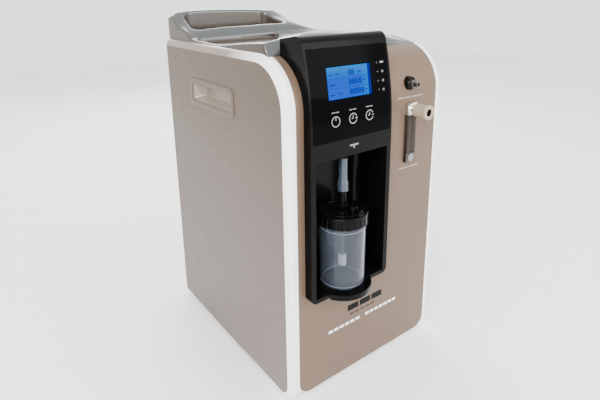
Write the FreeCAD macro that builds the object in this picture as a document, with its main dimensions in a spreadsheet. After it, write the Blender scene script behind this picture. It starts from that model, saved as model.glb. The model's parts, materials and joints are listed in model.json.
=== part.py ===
import FreeCAD, Part
import math
import os

import Sketcher

# Floor-standing home oxygen concentrator.
#
# Frame: X to the right as seen from the front, Y to the back, Z up.  The origin lies on the
# floor under the middle of the outline, which runs from the humidifier shelf's lip at the
# front to the rear edge of the side panels.  Heights are counted from the case's underside,
# which stands on four rubber feet, and depths from the plane of the front panel.

DOC = FreeCAD.newDocument("oxygen_concentrator")
NEAR = 0.01          # how close an edge has to be to a place to be picked, in mm

SIZES = [
    # overall
    ("case_width", 305, "over the two side panels"),
    ("case_depth", 382, "front panel plane to the side panels' rear edge"),
    ("case_height", 517, "underside of the case to the side panels' top edge"),
    ("foot_height", 5, "clearance under the case"),
    # side panels, trim and front
    ("panel_depth", 9, "how far a side panel reaches in from its outer face"),
    ("panel_bevel", 8.6, "bevel around a side panel's outer face"),
    ("panel_wall", 2.5, "wall of the moulded panels"),
    ("brow_radius", 72, "rounding where the front turns into the top"),
    ("toe_radius", 30, "rounding where the front turns into the underside"),
    ("heel_radius", 10, "rounding of the side panels' rear corners"),
    ("trim_leg", 6, "width of the trim ring's legs"),
    ("trim_sill", 13, "height of the trim ring's sill"),
    ("trim_wall", 4, "thickness of the trim ring"),
    ("sill_corner", 20, "inner rounding between sill and legs"),
    ("front_wall", 3, "thickness of the front panel"),
    ("front_return", 50, "how far the front panel runs back over the top"),
    ("gap", 0.3, "assembly gap between neighbouring pieces"),
    # grips in the side panels
    ("grip_near", 132, "front end of the grip's rim, behind the front"),
    ("grip_far", 279, "rear end of the grip's rim, behind the front"),
    ("grip_low", 415, "lower edge of the grip's rim"),
    ("grip_high", 461, "upper edge of the grip's rim"),
    ("grip_rim", 8, "width of the grip's rim"),
    ("grip_depth", 24, "depth of the grip cup"),
    # console
    ("console_middle", -51.5, "middle of the console across the case"),
    ("console_width", 147, "width of the console"),
    ("console_proud", 15, "how far the console stands in front of the front panel"),
    ("console_low", 171, "lower edge of the console"),
    ("console_step", 402.8, "edge between the lower frame and the leaning display face"),
    ("console_high", 541, "top of the console"),
    ("console_back", 50, "rear edge of the console's top"),
    ("console_wall", 3, "wall of the console"),
    ("face_radius", 490, "radius of the leaning display face"),
    ("face_plate", 1.8, "thickness of the glossy display plate"),
    ("frame_side", 8, "width of the frame beside the bay"),
    ("frame_lip", 379, "upper edge of the bay's opening"),
    # display and keys
    ("display_middle", -54, "middle of the display across the case"),
    ("display_height", 480, "height of the display's middle"),
    ("display_wide", 78, "visible width of the display"),
    ("display_tall", 43, "visible height of the display"),
    ("display_thick", 4, "thickness of the display module"),
    ("key_first", -83.4, "place of the left key across the case"),
    ("key_pitch", 30.5, "distance from key to key"),
    ("key_height", 430.5, "height of the keys' centres"),
    ("key_radius", 8.6, "radius of a key"),
    ("key_length", 6, "length of a key's cap"),
    ("key_proud", 0.6, "how far a key stands out of the plate"),
    ("lamp_place", -2, "place of the indicator lamps across the case"),
    ("lamp_first", 500, "height of the top indicator lamp"),
    ("lamp_pitch", 12.5, "distance from lamp to lamp"),
    ("lamp_radius", 1.4, "radius of a lamp"),
    # humidifier bay, shelf and humidifier
    ("bay_floor", 177, "height of the bay's floor"),
    ("bay_clearance", 4.8, "room between the humidifier's cap and the bay's back wall"),
    ("bay_wall", 2.5, "wall of the bay"),
    ("bay_corner", 12, "rounding of the bay's rear corners"),
    ("jar_place", -53, "jar's axis across the case"),
    ("jar_setback", 4, "jar's axis behind the front panel"),
    ("shelf_radius", 44, "radius of the round shelf"),
    ("shelf_thick", 10, "thickness of the shelf's lip"),
    ("jar_foot", 33.4, "radius of the jar at its bottom"),
    ("jar_mouth", 35.6, "radius of the jar under the cap"),
    ("jar_neck", 33.6, "radius of the jar's neck inside the cap"),
    ("jar_wall", 2, "wall of the jar"),
    ("jar_height", 97, "jar's height from its bottom to the cap"),
    ("neck_height", 12, "height of the neck inside the cap"),
    ("cap_radius", 37.2, "radius of the cap"),
    ("cap_height", 18, "height of the cap"),
    ("stem_radius", 5.5, "radius of the inlet stem"),
    ("stem_length", 38, "height of the inlet stem above the cap"),
    ("tube_radius", 6.2, "outer radius of the link tube"),
    ("tube_bore", 4, "inner radius of the link tube"),
    ("collar_radius", 7.7, "radius of the link tube's collar"),
    ("collar_height", 15, "height of the link tube's collar"),
    ("port_drop", 8, "how far the oxygen port hangs below the bay's ceiling"),
    ("dip_radius", 3, "radius of the dip tube"),
    ("diffuser_radius", 6, "radius of the bubble diffuser"),
    ("diffuser_height", 16, "height of the bubble diffuser"),
    ("diffuser_lift", 26, "bubble diffuser's clearance above the jar's bottom"),
    # nebuliser port and flowmeter
    ("outlet_place", 74.5, "nebuliser port across the case"),
    ("outlet_height", 461.5, "height of the nebuliser port"),
    ("meter_place", 77, "middle of the flowmeter across the case"),
    ("meter_wide", 19, "width of the flowmeter's block"),
    ("meter_low", 352, "lower end of the flowmeter's block"),
    ("meter_high", 414, "upper end of the flowmeter's block"),
    ("meter_proud", 6, "how far the block stands in front of the front panel"),
    ("meter_inside", 12, "how far the block reaches behind the front panel"),
    ("meter_bore", 3.6, "radius of the flowmeter's bore"),
    ("float_radius", 3, "radius of the float ball"),
    ("knob_radius", 11, "radius of the flow knob"),
    ("knob_height", 422, "height of the knob's axis"),
    ("knob_start", 13, "knob's rear end in front of the front panel"),
    ("knob_length", 25, "length of the flow knob"),
    ("spindle_radius", 3, "radius of the valve spindle"),
    # top cover
    ("cover_rim", 504, "height of the cover's lower edge"),
    ("cover_wall", 3, "wall of the top cover"),
    ("tray_floor", 514, "height of the floor of the two wells"),
    ("handle_near", 304, "front edge of the handle well, behind the front"),
    ("handle_far", 360, "rear edge of the handle well, behind the front"),
    ("handle_left", -132, "left end of the handle well's front edge"),
    ("handle_right", 64, "right end of the handle well's front edge"),
    ("tray_near", 66, "front corner of the three-sided tray, behind the front"),
    # rear panel and what it carries
    ("rear_setback", 3.3, "rear panel's outer face in front of the case's rear edge"),
    ("rear_wall", 3, "thickness of the rear panel"),
    ("rear_low", 8, "lower edge of the rear panel"),
    ("door_left", 30, "left edge of the filter door"),
    ("door_right", 130, "right edge of the filter door"),
    ("door_low", 351.5, "lower edge of the filter door"),
    ("door_high", 450, "upper edge of the filter door"),
    ("door_thick", 2.5, "thickness of the filter door"),
    ("hinge_height", 347, "height of the filter door's hinge axis"),
    ("pin_radius", 1.5, "radius of the hinge pin"),
    ("inlet_place", -86, "mains inlet across the case"),
    ("inlet_height", 54, "height of the mains inlet"),
    ("breaker_place", -34, "circuit breaker across the case"),
    # inside
    ("tray_wall", 3, "thickness of the base tray"),
    ("tray_lift", 4.3, "height of the base tray's underside"),
    ("shelf_height", 178, "height of the inner frame's shelf"),
    ("plate_wall", 2, "sheet thickness of the inner frame"),
    ("shaft_depth", 215, "compressor's shaft behind the front"),
    ("shaft_height", 84, "height of the compressor's shaft"),
    ("shaft_radius", 6, "radius of the compressor's shaft"),
    ("motor_radius", 48, "outer radius of the motor"),
    ("motor_half", 55, "half length of the motor"),
    ("crankcase_wide", 44, "length of a crankcase along the shaft"),
    ("crank_throw", 5, "throw of the compressor's cranks"),
    ("bore_radius", 18, "bore of the compressor's cylinders"),
    ("bed_radius", 33, "radius of a sieve bed and of the product tank"),
    ("bed_depth", 300, "sieve beds behind the front"),
    ("bed_low", 184, "lower end of the sieve beds"),
    ("bed_high", 440, "upper end of the sieve beds"),
    ("bed_left", -92, "left sieve bed across the case"),
    ("bed_pitch", 76, "distance from sieve bed to sieve bed and to the tank"),
    ("fan_place", 75, "fan across the case"),
    ("fan_depth", 125, "fan behind the front"),
    ("fan_size", 120, "side of the fan's square frame"),
    ("fan_thick", 25, "thickness of the fan"),
    ("screw_radius", 1.6, "radius of a case screw's shank"),
]


def make_sheet():
    """Fills the spreadsheet of driving sizes, one row each: name, value, meaning."""
    table = DOC.addObject("Spreadsheet::Sheet", "sizes")
    for row, (name, amount, meaning) in enumerate(SIZES, start=1):
        table.set(f"A{row}", name)
        table.set(f"B{row}", str(amount))
        table.setAlias(f"B{row}", name)
        table.set(f"C{row}", meaning)
    DOC.recompute()
    return table


SHEET = make_sheet()


def size(name):
    """One driving size, as a number in mm."""
    return float(SHEET.get(name))


def value(expression):
    """The number that an expression on the sheet stands for."""
    return float(SHEET.evalExpression(str(expression)))


# Places that many pieces share, as expressions on the sheet.
FRONT = "((sizes.shelf_radius - sizes.jar_setback - sizes.case_depth) / 2)"
SIDE = "(sizes.case_width / 2)"
INNER = "(sizes.case_width / 2 - sizes.panel_depth - sizes.gap)"
CONSOLE_LEFT = "(sizes.console_middle - sizes.console_width / 2)"
CONSOLE_RIGHT = "(sizes.console_middle + sizes.console_width / 2)"
BAY_LEFT = f"({CONSOLE_LEFT} + sizes.frame_side)"
BAY_RIGHT = f"({CONSOLE_RIGHT} - sizes.frame_side)"


def behind(distance):
    """A place along Y, counted from the front panel's plane towards the back."""
    return f"({FRONT} + {distance})"


def above(height):
    """A place along Z, counted from the case's underside."""
    return f"(sizes.foot_height + {height})"


BAY_BACK = behind("sizes.jar_setback + sizes.cap_radius + sizes.bay_clearance")
REAR_FACE = behind("sizes.case_depth - sizes.rear_setback")
UNDERSIDE = above("0")
CASE_TOP = above("sizes.case_height")


def mirrored(side, inner, outer):
    """A span along X on the right (side 1) or the same span on the left (side -1)."""
    if side > 0:
        return inner, outer
    return f"-({outer})", f"-({inner})"


def about(middle, half):
    """A span of twice the half width about a middle."""
    return f"({middle}) - ({half})", f"({middle}) + ({half})"


# ---------------------------------------------------------------- edges

def along(axis, **at):
    """Picks straight edges parallel to an axis whose other coordinates are the given ones."""
    wanted = {name: value(place) for name, place in at.items()}

    def pick(edge):
        if edge.Curve.TypeId != "Part::GeomLine":
            return False
        if abs(abs(getattr(edge.Curve.Direction, axis)) - 1) > 1e-6:
            return False
        point = edge.Vertexes[0].Point
        return all(abs(getattr(point, name) - place) < NEAR for name, place in wanted.items())
    return pick


def lying_on(axis, place):
    """Picks every edge that lies in the plane where one coordinate has one value."""
    level = value(place)

    def pick(edge):
        points = edge.discretize(5)
        return all(abs(getattr(point, axis) - level) < NEAR for point in points)
    return pick


def either(*picks):
    """Picks an edge that any one of several rules picks."""
    return lambda edge: any(pick(edge) for pick in picks)


# ---------------------------------------------------------------- bodies

TURNS = {
    "x": FreeCAD.Rotation(FreeCAD.Vector(0, 1, 0), 90),
    "y": FreeCAD.Rotation(FreeCAD.Vector(1, 0, 0), -90),
    "z": FreeCAD.Rotation(),
}
PLANES = {"x": "YZ_Plane", "y": "XZ_Plane", "z": "XY_Plane"}


class Piece:
    """One moulded, turned or bent piece: a PartDesign body whose sizes follow the sheet."""

    def __init__(self, label):
        self.body = DOC.addObject("PartDesign::Body", label)
        self.body.Label = label

    def _feature(self, kind, cut, name):
        prefix = "Subtractive" if cut else "Additive"
        return self.body.newObject(f"PartDesign::{prefix}{kind}", name)

    def _at(self, feature, x, y, z):
        for axis, place in zip("xyz", (x, y, z)):
            feature.setExpression(f"Placement.Base.{axis}", str(place))

    def box(self, x, y, z, cut=False):
        """Adds or cuts a block between three pairs of places."""
        block = self._feature("Box", cut, "Block")
        for name, (low, high) in zip(("Length", "Width", "Height"), (x, y, z)):
            block.setExpression(name, f"({high}) - ({low})")
        self._at(block, x[0], y[0], z[0])
        return self

    def rod(self, axis, centre, span, radius, cut=False):
        """Adds or cuts a round bar along an axis; the centre is given in XYZ order."""
        bar = self._feature("Cylinder", cut, "Bar")
        bar.setExpression("Radius", str(radius))
        bar.setExpression("Height", f"({span[1]}) - ({span[0]})")
        bar.Placement = FreeCAD.Placement(FreeCAD.Vector(), TURNS[axis])
        places = list(centre)
        places.insert("xyz".index(axis), span[0])
        self._at(bar, *places)
        return self

    def cone(self, centre, span, low_radius, high_radius, cut=False):
        """Adds or cuts an upright cone frustum."""
        taper = self._feature("Cone", cut, "Taper")
        taper.setExpression("Radius1", str(low_radius))
        taper.setExpression("Radius2", str(high_radius))
        taper.setExpression("Height", f"({span[1]}) - ({span[0]})")
        self._at(taper, centre[0], centre[1], span[0])
        return self

    def ball(self, x, y, z, radius, cut=False):
        """Adds or cuts a ball."""
        sphere = self._feature("Sphere", cut, "Ball")
        sphere.setExpression("Radius", str(radius))
        self._at(sphere, x, y, z)
        return self

    def ring(self, axis, centre, ring_radius, wire_radius, cut=False):
        """Adds or cuts a ring of round section about an axis through the centre."""
        torus = self._feature("Torus", cut, "Ring")
        torus.setExpression("Radius1", str(ring_radius))
        torus.setExpression("Radius2", str(wire_radius))
        torus.Placement = FreeCAD.Placement(FreeCAD.Vector(), TURNS[axis])
        self._at(torus, *centre)
        return self

    def outline(self, axis, span, corners, cut=False):
        """Pads or pockets a closed outline, drawn across an axis, between two places on it.

        A corner is a pair of places; a third value is the radius of the arc that runs from
        it to the next corner, negative for an arc that bends the other way.
        """
        sketch = self.body.newObject("Sketcher::SketchObject", "Outline")
        plane = [f for f in self.body.Origin.OriginFeatures if f.Role == PLANES[axis]][0]
        sketch.AttachmentSupport = [(plane, "")]
        sketch.MapMode = "FlatFace"
        sign = -1 if axis == "y" else 1
        sketch.setExpression("AttachmentOffset.Base.z", f"{sign} * ({span[0]})")
        draw_outline(sketch, corners)
        sketch.Visibility = False
        kind = "Pocket" if cut else "Pad"
        feature = self.body.newObject(f"PartDesign::{kind}", kind)
        feature.Profile = sketch
        feature.setExpression("Length", f"({span[1]}) - ({span[0]})")
        feature.Reversed = (axis == "y") != cut
        DOC.recompute()
        return self

    def _dress(self, kind, pick, amount, setting):
        DOC.recompute()
        base = self.body.Tip
        names = [f"Edge{i}" for i, edge in enumerate(base.Shape.Edges, start=1) if pick(edge)]
        if not names:
            raise ValueError(f"no edge to dress on {self.body.Label}")
        dress = self.body.newObject(f"PartDesign::{kind}", kind)
        dress.Base = (base, names)
        dress.setExpression(setting, str(amount))
        return self

    def fillet(self, pick, radius):
        """Rounds the picked edges."""
        return self._dress("Fillet", pick, radius, "Radius")

    def chamfer(self, pick, width):
        """Bevels the picked edges."""
        return self._dress("Chamfer", pick, width, "Size")


def draw_outline(sketch, corners):
    """Draws a closed outline of lines and arcs whose corners are bound to the sheet."""
    points = [FreeCAD.Vector(value(c[0]), value(c[1]), 0) for c in corners]
    count = len(corners)
    for i, corner in enumerate(corners):
        start = points[i]
        end = points[(i + 1) % count]
        if len(corner) == 2:
            sketch.addGeometry(Part.LineSegment(start, end))
            continue
        radius = value(corner[2])
        chord = end - start
        reach = abs(radius) - math.sqrt(radius ** 2 - (chord.Length / 2) ** 2)
        across = FreeCAD.Vector(chord.y, -chord.x, 0).normalize()
        middle = (start + end) / 2 + across * math.copysign(reach, radius)
        sketch.addGeometry(Part.Arc(start, middle, end))
    ends = []
    for i, corner in enumerate(corners):
        curve = sketch.Geometry[i]
        straight = (curve.StartPoint - points[i]).Length < NEAR
        ends.append((1, 2) if straight else (2, 1))
    for i in range(count):
        follower = (i + 1) % count
        joint = Sketcher.Constraint("Coincident", i, ends[i][1], follower, ends[follower][0])
        sketch.addConstraint(joint)
    for i, corner in enumerate(corners):
        for kind, place in zip(("DistanceX", "DistanceY"), corner):
            number = Sketcher.Constraint(kind, -1, 1, i, ends[i][0], value(place))
            index = sketch.addConstraint(number)
            sketch.setExpression(f"Constraints[{index}]", str(place))
        if len(corner) == 3:
            radius = abs(value(corner[2]))
            index = sketch.addConstraint(Sketcher.Constraint("Radius", i, radius))
            sketch.setExpression(f"Constraints[{index}]", f"abs({corner[2]})")


# ---------------------------------------------------------------- outer shell

def side_profile(inset):
    """Outline of a side panel, drawn in by an inset: four rounded corners."""
    brow = "sizes.brow_radius"
    toe = "sizes.toe_radius"
    heel = "sizes.heel_radius"
    front = behind(inset)
    rear = behind(f"sizes.case_depth - {inset}")
    low = above(inset)
    top = above(f"sizes.case_height - {inset}")
    rear_arc = behind(f"sizes.case_depth - {heel}")
    return [(rear_arc, top), (behind(brow), top, f"{brow} - {inset}"),
            (front, above(f"sizes.case_height - {brow}")),
            (front, above(toe), f"{toe} - {inset}"), (behind(toe), low),
            (rear_arc, low, f"{heel} - {inset}"), (rear, above(heel)),
            (rear, above(f"sizes.case_height - {heel}"), f"{heel} - {inset}")]


def side_panel(label, side):
    """Moulded side: a shallow tray, rounded at its corners and bevelled all round."""
    piece = Piece(label)
    x = mirrored(side, f"{SIDE} - sizes.panel_depth", SIDE)
    piece.outline("x", x, side_profile("0"))
    piece.chamfer(lying_on("x", f"{side} * {SIDE}"), "sizes.panel_bevel")
    wall = "sizes.panel_wall"
    cavity = mirrored(side, f"{SIDE} - sizes.panel_depth - 1", f"{SIDE} - {wall}")
    piece.outline("x", cavity, side_profile("(sizes.panel_bevel + 0.4)"), cut=True)
    hole_x = mirrored(side, f"{SIDE} - sizes.panel_depth", f"{SIDE} + 1")
    rim = "sizes.grip_rim - sizes.gap"
    piece.box(hole_x,
              (behind(f"sizes.grip_near + {rim}"), behind(f"sizes.grip_far - ({rim})")),
              (above(f"sizes.grip_low + {rim}"), above(f"sizes.grip_high - ({rim})")),
              cut=True)


def grip_cups():
    """Two identical hand grips: cups let into the side panels behind rounded rims."""
    piece = Piece("grip_cups")
    y = (behind("sizes.grip_near"), behind("sizes.grip_far"))
    z = (above("sizes.grip_low"), above("sizes.grip_high"))
    rim = "sizes.grip_rim"
    wall = "sizes.panel_wall"
    cup_y = (f"{y[0]} + {rim}", f"{y[1]} - {rim}")
    cup_z = (f"{z[0]} + {rim}", f"{z[1]} - {rim}")
    for side in (-1, 1):
        piece.box(mirrored(side, SIDE, f"{SIDE} + 1.2"), y, z)
    piece.fillet(either(*(along("x", y=a, z=b) for a in y for b in z)), 9)
    for side in (-1, 1):
        piece.box(mirrored(side, f"{SIDE} - sizes.grip_depth", SIDE), cup_y, cup_z)
        piece.box(mirrored(side, f"{SIDE} - sizes.grip_depth + {wall}", f"{SIDE} + 2"),
                  (f"{cup_y[0]} + {wall}", f"{cup_y[1]} - {wall}"),
                  (f"{cup_z[0]} + {wall}", f"{cup_z[1]} - {wall}"), cut=True)


def front_profile(inset, back, low):
    """Side view of the front with its rounded brow and toe, drawn in by an inset."""
    brow = "sizes.brow_radius"
    toe = "sizes.toe_radius"
    top = above(f"sizes.case_height - {inset}")
    front = behind(inset)
    corners = [(back, top), (behind(brow), top, f"{brow} - {inset}"),
               (front, above(f"sizes.case_height - {brow}"))]
    if low is None:
        corners += [(front, above(toe), f"{toe} - {inset}"), (behind(toe), above(inset)),
                    (back, above(inset))]
    else:
        corners += [(front, low), (back, low)]
    return corners


def front_trim_ring():
    """White ring around the front: two legs that run up and back over the top, and a sill."""
    piece = Piece("front_trim_ring")
    back = behind("sizes.front_return")
    deep = behind("sizes.brow_radius + 8")
    wide = (f"-{INNER}", INNER)
    wider = (f"-{INNER} - 1", f"{INNER} + 1")
    piece.outline("x", wide, front_profile("0", deep, None))
    inside = front_profile("sizes.trim_wall", f"{deep} + 1", None)
    piece.outline("x", wider, inside, cut=True)
    piece.box(wider, (back, f"{deep} + 2"), (UNDERSIDE, f"{CASE_TOP} + 1"), cut=True)
    half = f"({INNER} - sizes.trim_leg)"
    sill = above("sizes.trim_sill")
    bend = "sizes.sill_corner"
    window = [(f"-{half}", f"{CASE_TOP} + 1"), (f"-{half}", f"{sill} + {bend}", bend),
              (f"-{half} + {bend}", sill), (f"{half} - {bend}", sill, bend),
              (half, f"{sill} + {bend}"), (half, f"{CASE_TOP} + 1")]
    piece.outline("y", (f"{FRONT} - 1", f"{back} + 1"), window, cut=True)
    heel = behind("sizes.toe_radius + 4")
    piece.box(wider, (heel, f"{back} + 1"), (f"{UNDERSIDE} - 1", sill), cut=True)


def front_panel():
    """Champagne front: a curved sheet that wraps over the brow, slotted for the console."""
    piece = Piece("front_panel")
    half = f"({INNER} - sizes.trim_leg - sizes.gap)"
    low = above("sizes.trim_sill + sizes.gap")
    deep = behind("sizes.brow_radius + 8")
    back = behind("sizes.front_return")
    piece.outline("x", (f"-{half}", half), front_profile("0", deep, low))
    piece.outline("x", (f"-{half} - 1", f"{half} + 1"),
                  front_profile("sizes.front_wall", f"{deep} + 1", f"{low} - 1"), cut=True)
    piece.box((f"-{half} - 1", f"{half} + 1"), (back, f"{deep} + 1"),
              (low, f"{CASE_TOP} + 1"), cut=True)
    piece.fillet(either(along("y", x=f"-{half}", z=low), along("y", x=half, z=low)),
                 "sizes.sill_corner - sizes.gap")
    edge = "sizes.console_wall + sizes.gap"
    piece.box((f"{CONSOLE_LEFT} + {edge}", f"{CONSOLE_RIGHT} - ({edge})"),
              (f"{FRONT} - 1", f"{back} + 1"),
              (above(f"sizes.console_low + {edge}"), f"{CASE_TOP} + 1"), cut=True)
    through = (f"{FRONT} - 1", behind("sizes.front_wall + 14"))
    piece.rod("y", ("sizes.outlet_place", above("sizes.outlet_height")), through, 10.3, cut=True)
    slot = about("sizes.meter_place", "sizes.meter_wide / 2 + sizes.gap")
    piece.box(slot, through,
              (above("sizes.meter_low - 14.3"), above("sizes.meter_high + 18.3")), cut=True)


def cover_section(place, heights, drop):
    """One section of the top cover across the case: a deck line that dips between its ends."""
    sketch = DOC.addObject("Sketcher::SketchObject", "CoverSection")
    sketch.Placement = FreeCAD.Placement(
        FreeCAD.Vector(), FreeCAD.Rotation(FreeCAD.Vector(1, 1, 1), 120))
    sketch.setExpression("Placement.Base.x", place)
    front = "sizes.front_return + sizes.gap"
    depths = [f"{front} + {drop}", f"{front} + 14", f"{front} + 60", "sizes.handle_near - 98",
              "sizes.handle_near - 20", "sizes.handle_near - 8", "sizes.handle_far - 18",
              "sizes.handle_far + 7", f"sizes.case_depth - {drop}"]
    corners = [(behind(depth), above(f"sizes.case_height + {rise} - {drop}"))
               for depth, rise in zip(depths, heights)]
    low = above(f"sizes.cover_rim - {drop}")
    corners.append((behind(f"sizes.case_depth - {drop}"), low))
    corners.append((behind(f"sizes.front_return + sizes.gap + {drop}"), low))
    draw_outline(sketch, corners)
    sketch.Visibility = False
    return sketch


def cover_loft(name, drop):
    """The cover's outer form, or with a drop the form inside its wall."""
    inset = f"{INNER} - {drop}"
    sections = [
        cover_section(f"-({inset})", (-5, 13, 10, 2, 5, 12, 26, 42, 38), drop),
        cover_section("-60", (14, 22, 17, 5, 6, 18, 38, 50, 46), drop),
        cover_section("64", (1, 13, 13, 8, 8, 20, 34, 46, 40), drop),
        cover_section(inset, (-6, 0, 7, 7, 7, 7, 9, 11, 6), drop),
    ]
    loft = DOC.addObject("Part::Loft", name)
    loft.Sections = sections
    loft.Solid = True
    loft.Ruled = True
    return loft


def prism(name, corners, low, high):
    """An upright prism on a closed outline between two heights, for use in a boolean."""
    sketch = DOC.addObject("Sketcher::SketchObject", "PrismOutline")
    sketch.setExpression("Placement.Base.z", low)
    draw_outline(sketch, corners)
    sketch.Visibility = False
    solid = DOC.addObject("Part::Extrusion", name)
    solid.Base = sketch
    solid.DirMode = "Custom"
    solid.Dir = FreeCAD.Vector(0, 0, 1)
    solid.Solid = True
    solid.setExpression("LengthFwd", f"({high}) - ({low})")
    return solid


def joined(kind, name, *parts):
    """A boolean of two or more objects: Fuse and Common of all, Cut of the first by the rest."""
    if kind == "Cut":
        result = DOC.addObject("Part::Cut", name)
        result.Base, result.Tool = parts
        return result
    result = DOC.addObject(f"Part::Multi{kind}", name)
    result.Shapes = list(parts)
    return result


def well_outlines(grow):
    """The top cover's wells, seen from above: the handle well and the three-sided tray."""
    near = behind(f"sizes.handle_near - {grow}")
    far = behind(f"sizes.handle_far + {grow}")
    handle = [(f"sizes.handle_left - {grow}", near), (f"sizes.handle_right + {grow}", near),
              (f"sizes.handle_right - 15 + {grow}", far), (f"sizes.handle_left + 8 - {grow}", far)]
    tray_near = behind(f"sizes.tray_near - {grow}")
    tray_far = behind(f"sizes.handle_near - 16 + {grow}")
    tray_left = f"sizes.handle_left - 2 - {grow}"
    tray = [(tray_left, tray_near), (f"sizes.handle_left + 14 + {grow}", tray_near),
            (f"sizes.handle_right - 30 + 2 * {grow}", tray_far), (tray_left, tray_far)]
    return handle, tray


def top_cover():
    """Grey top: a shell swept up into the carry handle, with two wells let into it."""
    outer = cover_loft("CoverOuter", 0)
    inner = cover_loft("CoverInner", size("cover_wall"))
    shell = joined("Cut", "CoverShell", outer, inner)
    high = above("sizes.case_height + 60")
    walls = [prism("WellWall", outline, above("sizes.tray_floor - sizes.cover_wall"), high)
             for outline in well_outlines("sizes.cover_wall")]
    wells = [prism("WellVoid", outline, above("sizes.tray_floor"), high)
             for outline in well_outlines("0")]
    liners = joined("Common", "CoverLiners", cover_loft("CoverTrim", 0),
                    joined("Fuse", "WellWalls", *walls))
    whole = joined("Fuse", "CoverWhole", shell, liners)
    cover = joined("Cut", "top_cover", whole, joined("Fuse", "WellVoids", *wells))
    cover.Label = "top_cover"
    return cover


def rear_panel():
    """Flat back with vent slots, the filter door's opening and hinge lugs, and its screws."""
    piece = Piece("rear_panel")
    y = (f"{REAR_FACE} - sizes.rear_wall", REAR_FACE)
    through = (f"{y[0]} - 1", f"{y[1]} + 1")
    piece.box((f"-{INNER}", INNER), y, (above("sizes.rear_low"), above("sizes.cover_rim - 0.5")))
    door = ("sizes.door_left + 3", "sizes.door_right - 3")
    piece.box(door, through, (above("sizes.hinge_height - 3.5"), above("sizes.door_high - 4")),
              cut=True)
    lug = (f"{REAR_FACE} - sizes.rear_wall", f"{REAR_FACE} + 2.4")
    for x in ((door[0], f"{door[0]} + 10"), (f"{door[1]} - 10", door[1])):
        piece.box(x, lug, (above("sizes.hinge_height - 4"), above("sizes.hinge_height + 2.6")))
    axis = (f"{REAR_FACE} - 0.3", above("sizes.hinge_height"))
    piece.rod("x", axis, (f"{door[0]} - 1", f"{door[1]} + 1"), "sizes.pin_radius + 0.02", cut=True)
    for row in range(9):
        z = above(f"190 + {row} * 13")
        piece.box(("-118", "-8"), through, (z, f"{z} + 5"), cut=True)
        piece.box(("12", "122"), through, (z, f"{z} + 5"), cut=True)
    piece.box(about("sizes.inlet_place", 13.8), through,
              about(above("sizes.inlet_height"), 9.8), cut=True)
    piece.rod("y", ("sizes.breaker_place", above("sizes.inlet_height")), through, 6.2, cut=True)
    for x, z in screw_places():
        piece.rod("y", (x, z), through, "sizes.screw_radius + 0.2", cut=True)


def screw_places():
    """The case screws of the rear panel: three down each side."""
    return [(f"{side} * ({INNER} - 9)", above(height))
            for side in (-1, 1) for height in ("24", "250", "sizes.cover_rim - 18")]


def rear_screws():
    """Six pan-head case screws."""
    piece = Piece("rear_screws")
    for x, z in screw_places():
        piece.rod("y", (x, z), (f"{REAR_FACE} - 12", REAR_FACE), "sizes.screw_radius")
        piece.rod("y", (x, z), (REAR_FACE, f"{REAR_FACE} + 2.2"), "sizes.screw_radius * 2")
        for width, height in ((0.4, 2), (2, 0.4)):
            piece.box(about(x, width), (f"{REAR_FACE} + 1", f"{REAR_FACE} + 3"),
                      about(z, height), cut=True)


def base_tray():
    """Bottom plate of the case with a turned-up edge all round."""
    piece = Piece("base_tray")
    x = (f"-{INNER}", INNER)
    y = (behind("sizes.toe_radius + 1"), behind("sizes.case_depth - 8"))
    low = above("sizes.tray_lift")
    piece.box(x, y, (low, f"{low} + 18"))
    wall = "sizes.tray_wall"
    piece.box((f"{x[0]} + {wall}", f"{x[1]} - {wall}"), (f"{y[0]} + {wall}", f"{y[1]} - {wall}"),
              (f"{low} + {wall}", f"{low} + 19"), cut=True)
    for x_place, y_place in foot_places():
        piece.rod("z", (x_place, y_place), (f"{low} - 1", f"{low} + {wall} + 1"), 4.2, cut=True)


def foot_places():
    """The four feet, near the corners of the base tray."""
    return [(f"{side} * ({INNER} - 26)", behind(depth))
            for side in (-1, 1) for depth in ("58", "sizes.case_depth - 38")]


def rubber_feet():
    """Four rubber feet with a stem that plugs into the base tray."""
    piece = Piece("rubber_feet")
    low = above("sizes.tray_lift")
    for x, y in foot_places():
        piece.rod("z", (x, y), ("0", low), 13)
        piece.rod("z", (x, y), (low, f"{low} + sizes.tray_wall"), 4)
        piece.rod("z", (x, y), (f"{low} + sizes.tray_wall", f"{low} + sizes.tray_wall + 3"), 6)


# ---------------------------------------------------------------- console

def face_depth(height, sink="0"):
    """Depth of the leaning display face at a height, or of a surface that lies under it."""
    radius = f"(sizes.face_radius - {sink})"
    rise = f"({height} - sizes.console_step)"
    return behind(f"{radius} + {sink} - sizes.console_proud - sqrt({radius}^2 - {rise}^2)")


def console_profile(sink, back, low):
    """Side view of the console, or of the space inside its wall."""
    shoulder = "(sizes.console_high - 12)"
    face = behind(f"{sink} - sizes.console_proud")
    return [(back, above(f"sizes.console_high - 5 - {sink}")),
            (face_depth("sizes.console_high", "9"), above(f"sizes.console_high - {sink}"),
             f"13 - {sink}"),
            (face_depth(shoulder, sink), above(shoulder), f"sizes.face_radius - {sink}"),
            (face, above("sizes.console_step")), (face, low), (back, low)]


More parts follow.
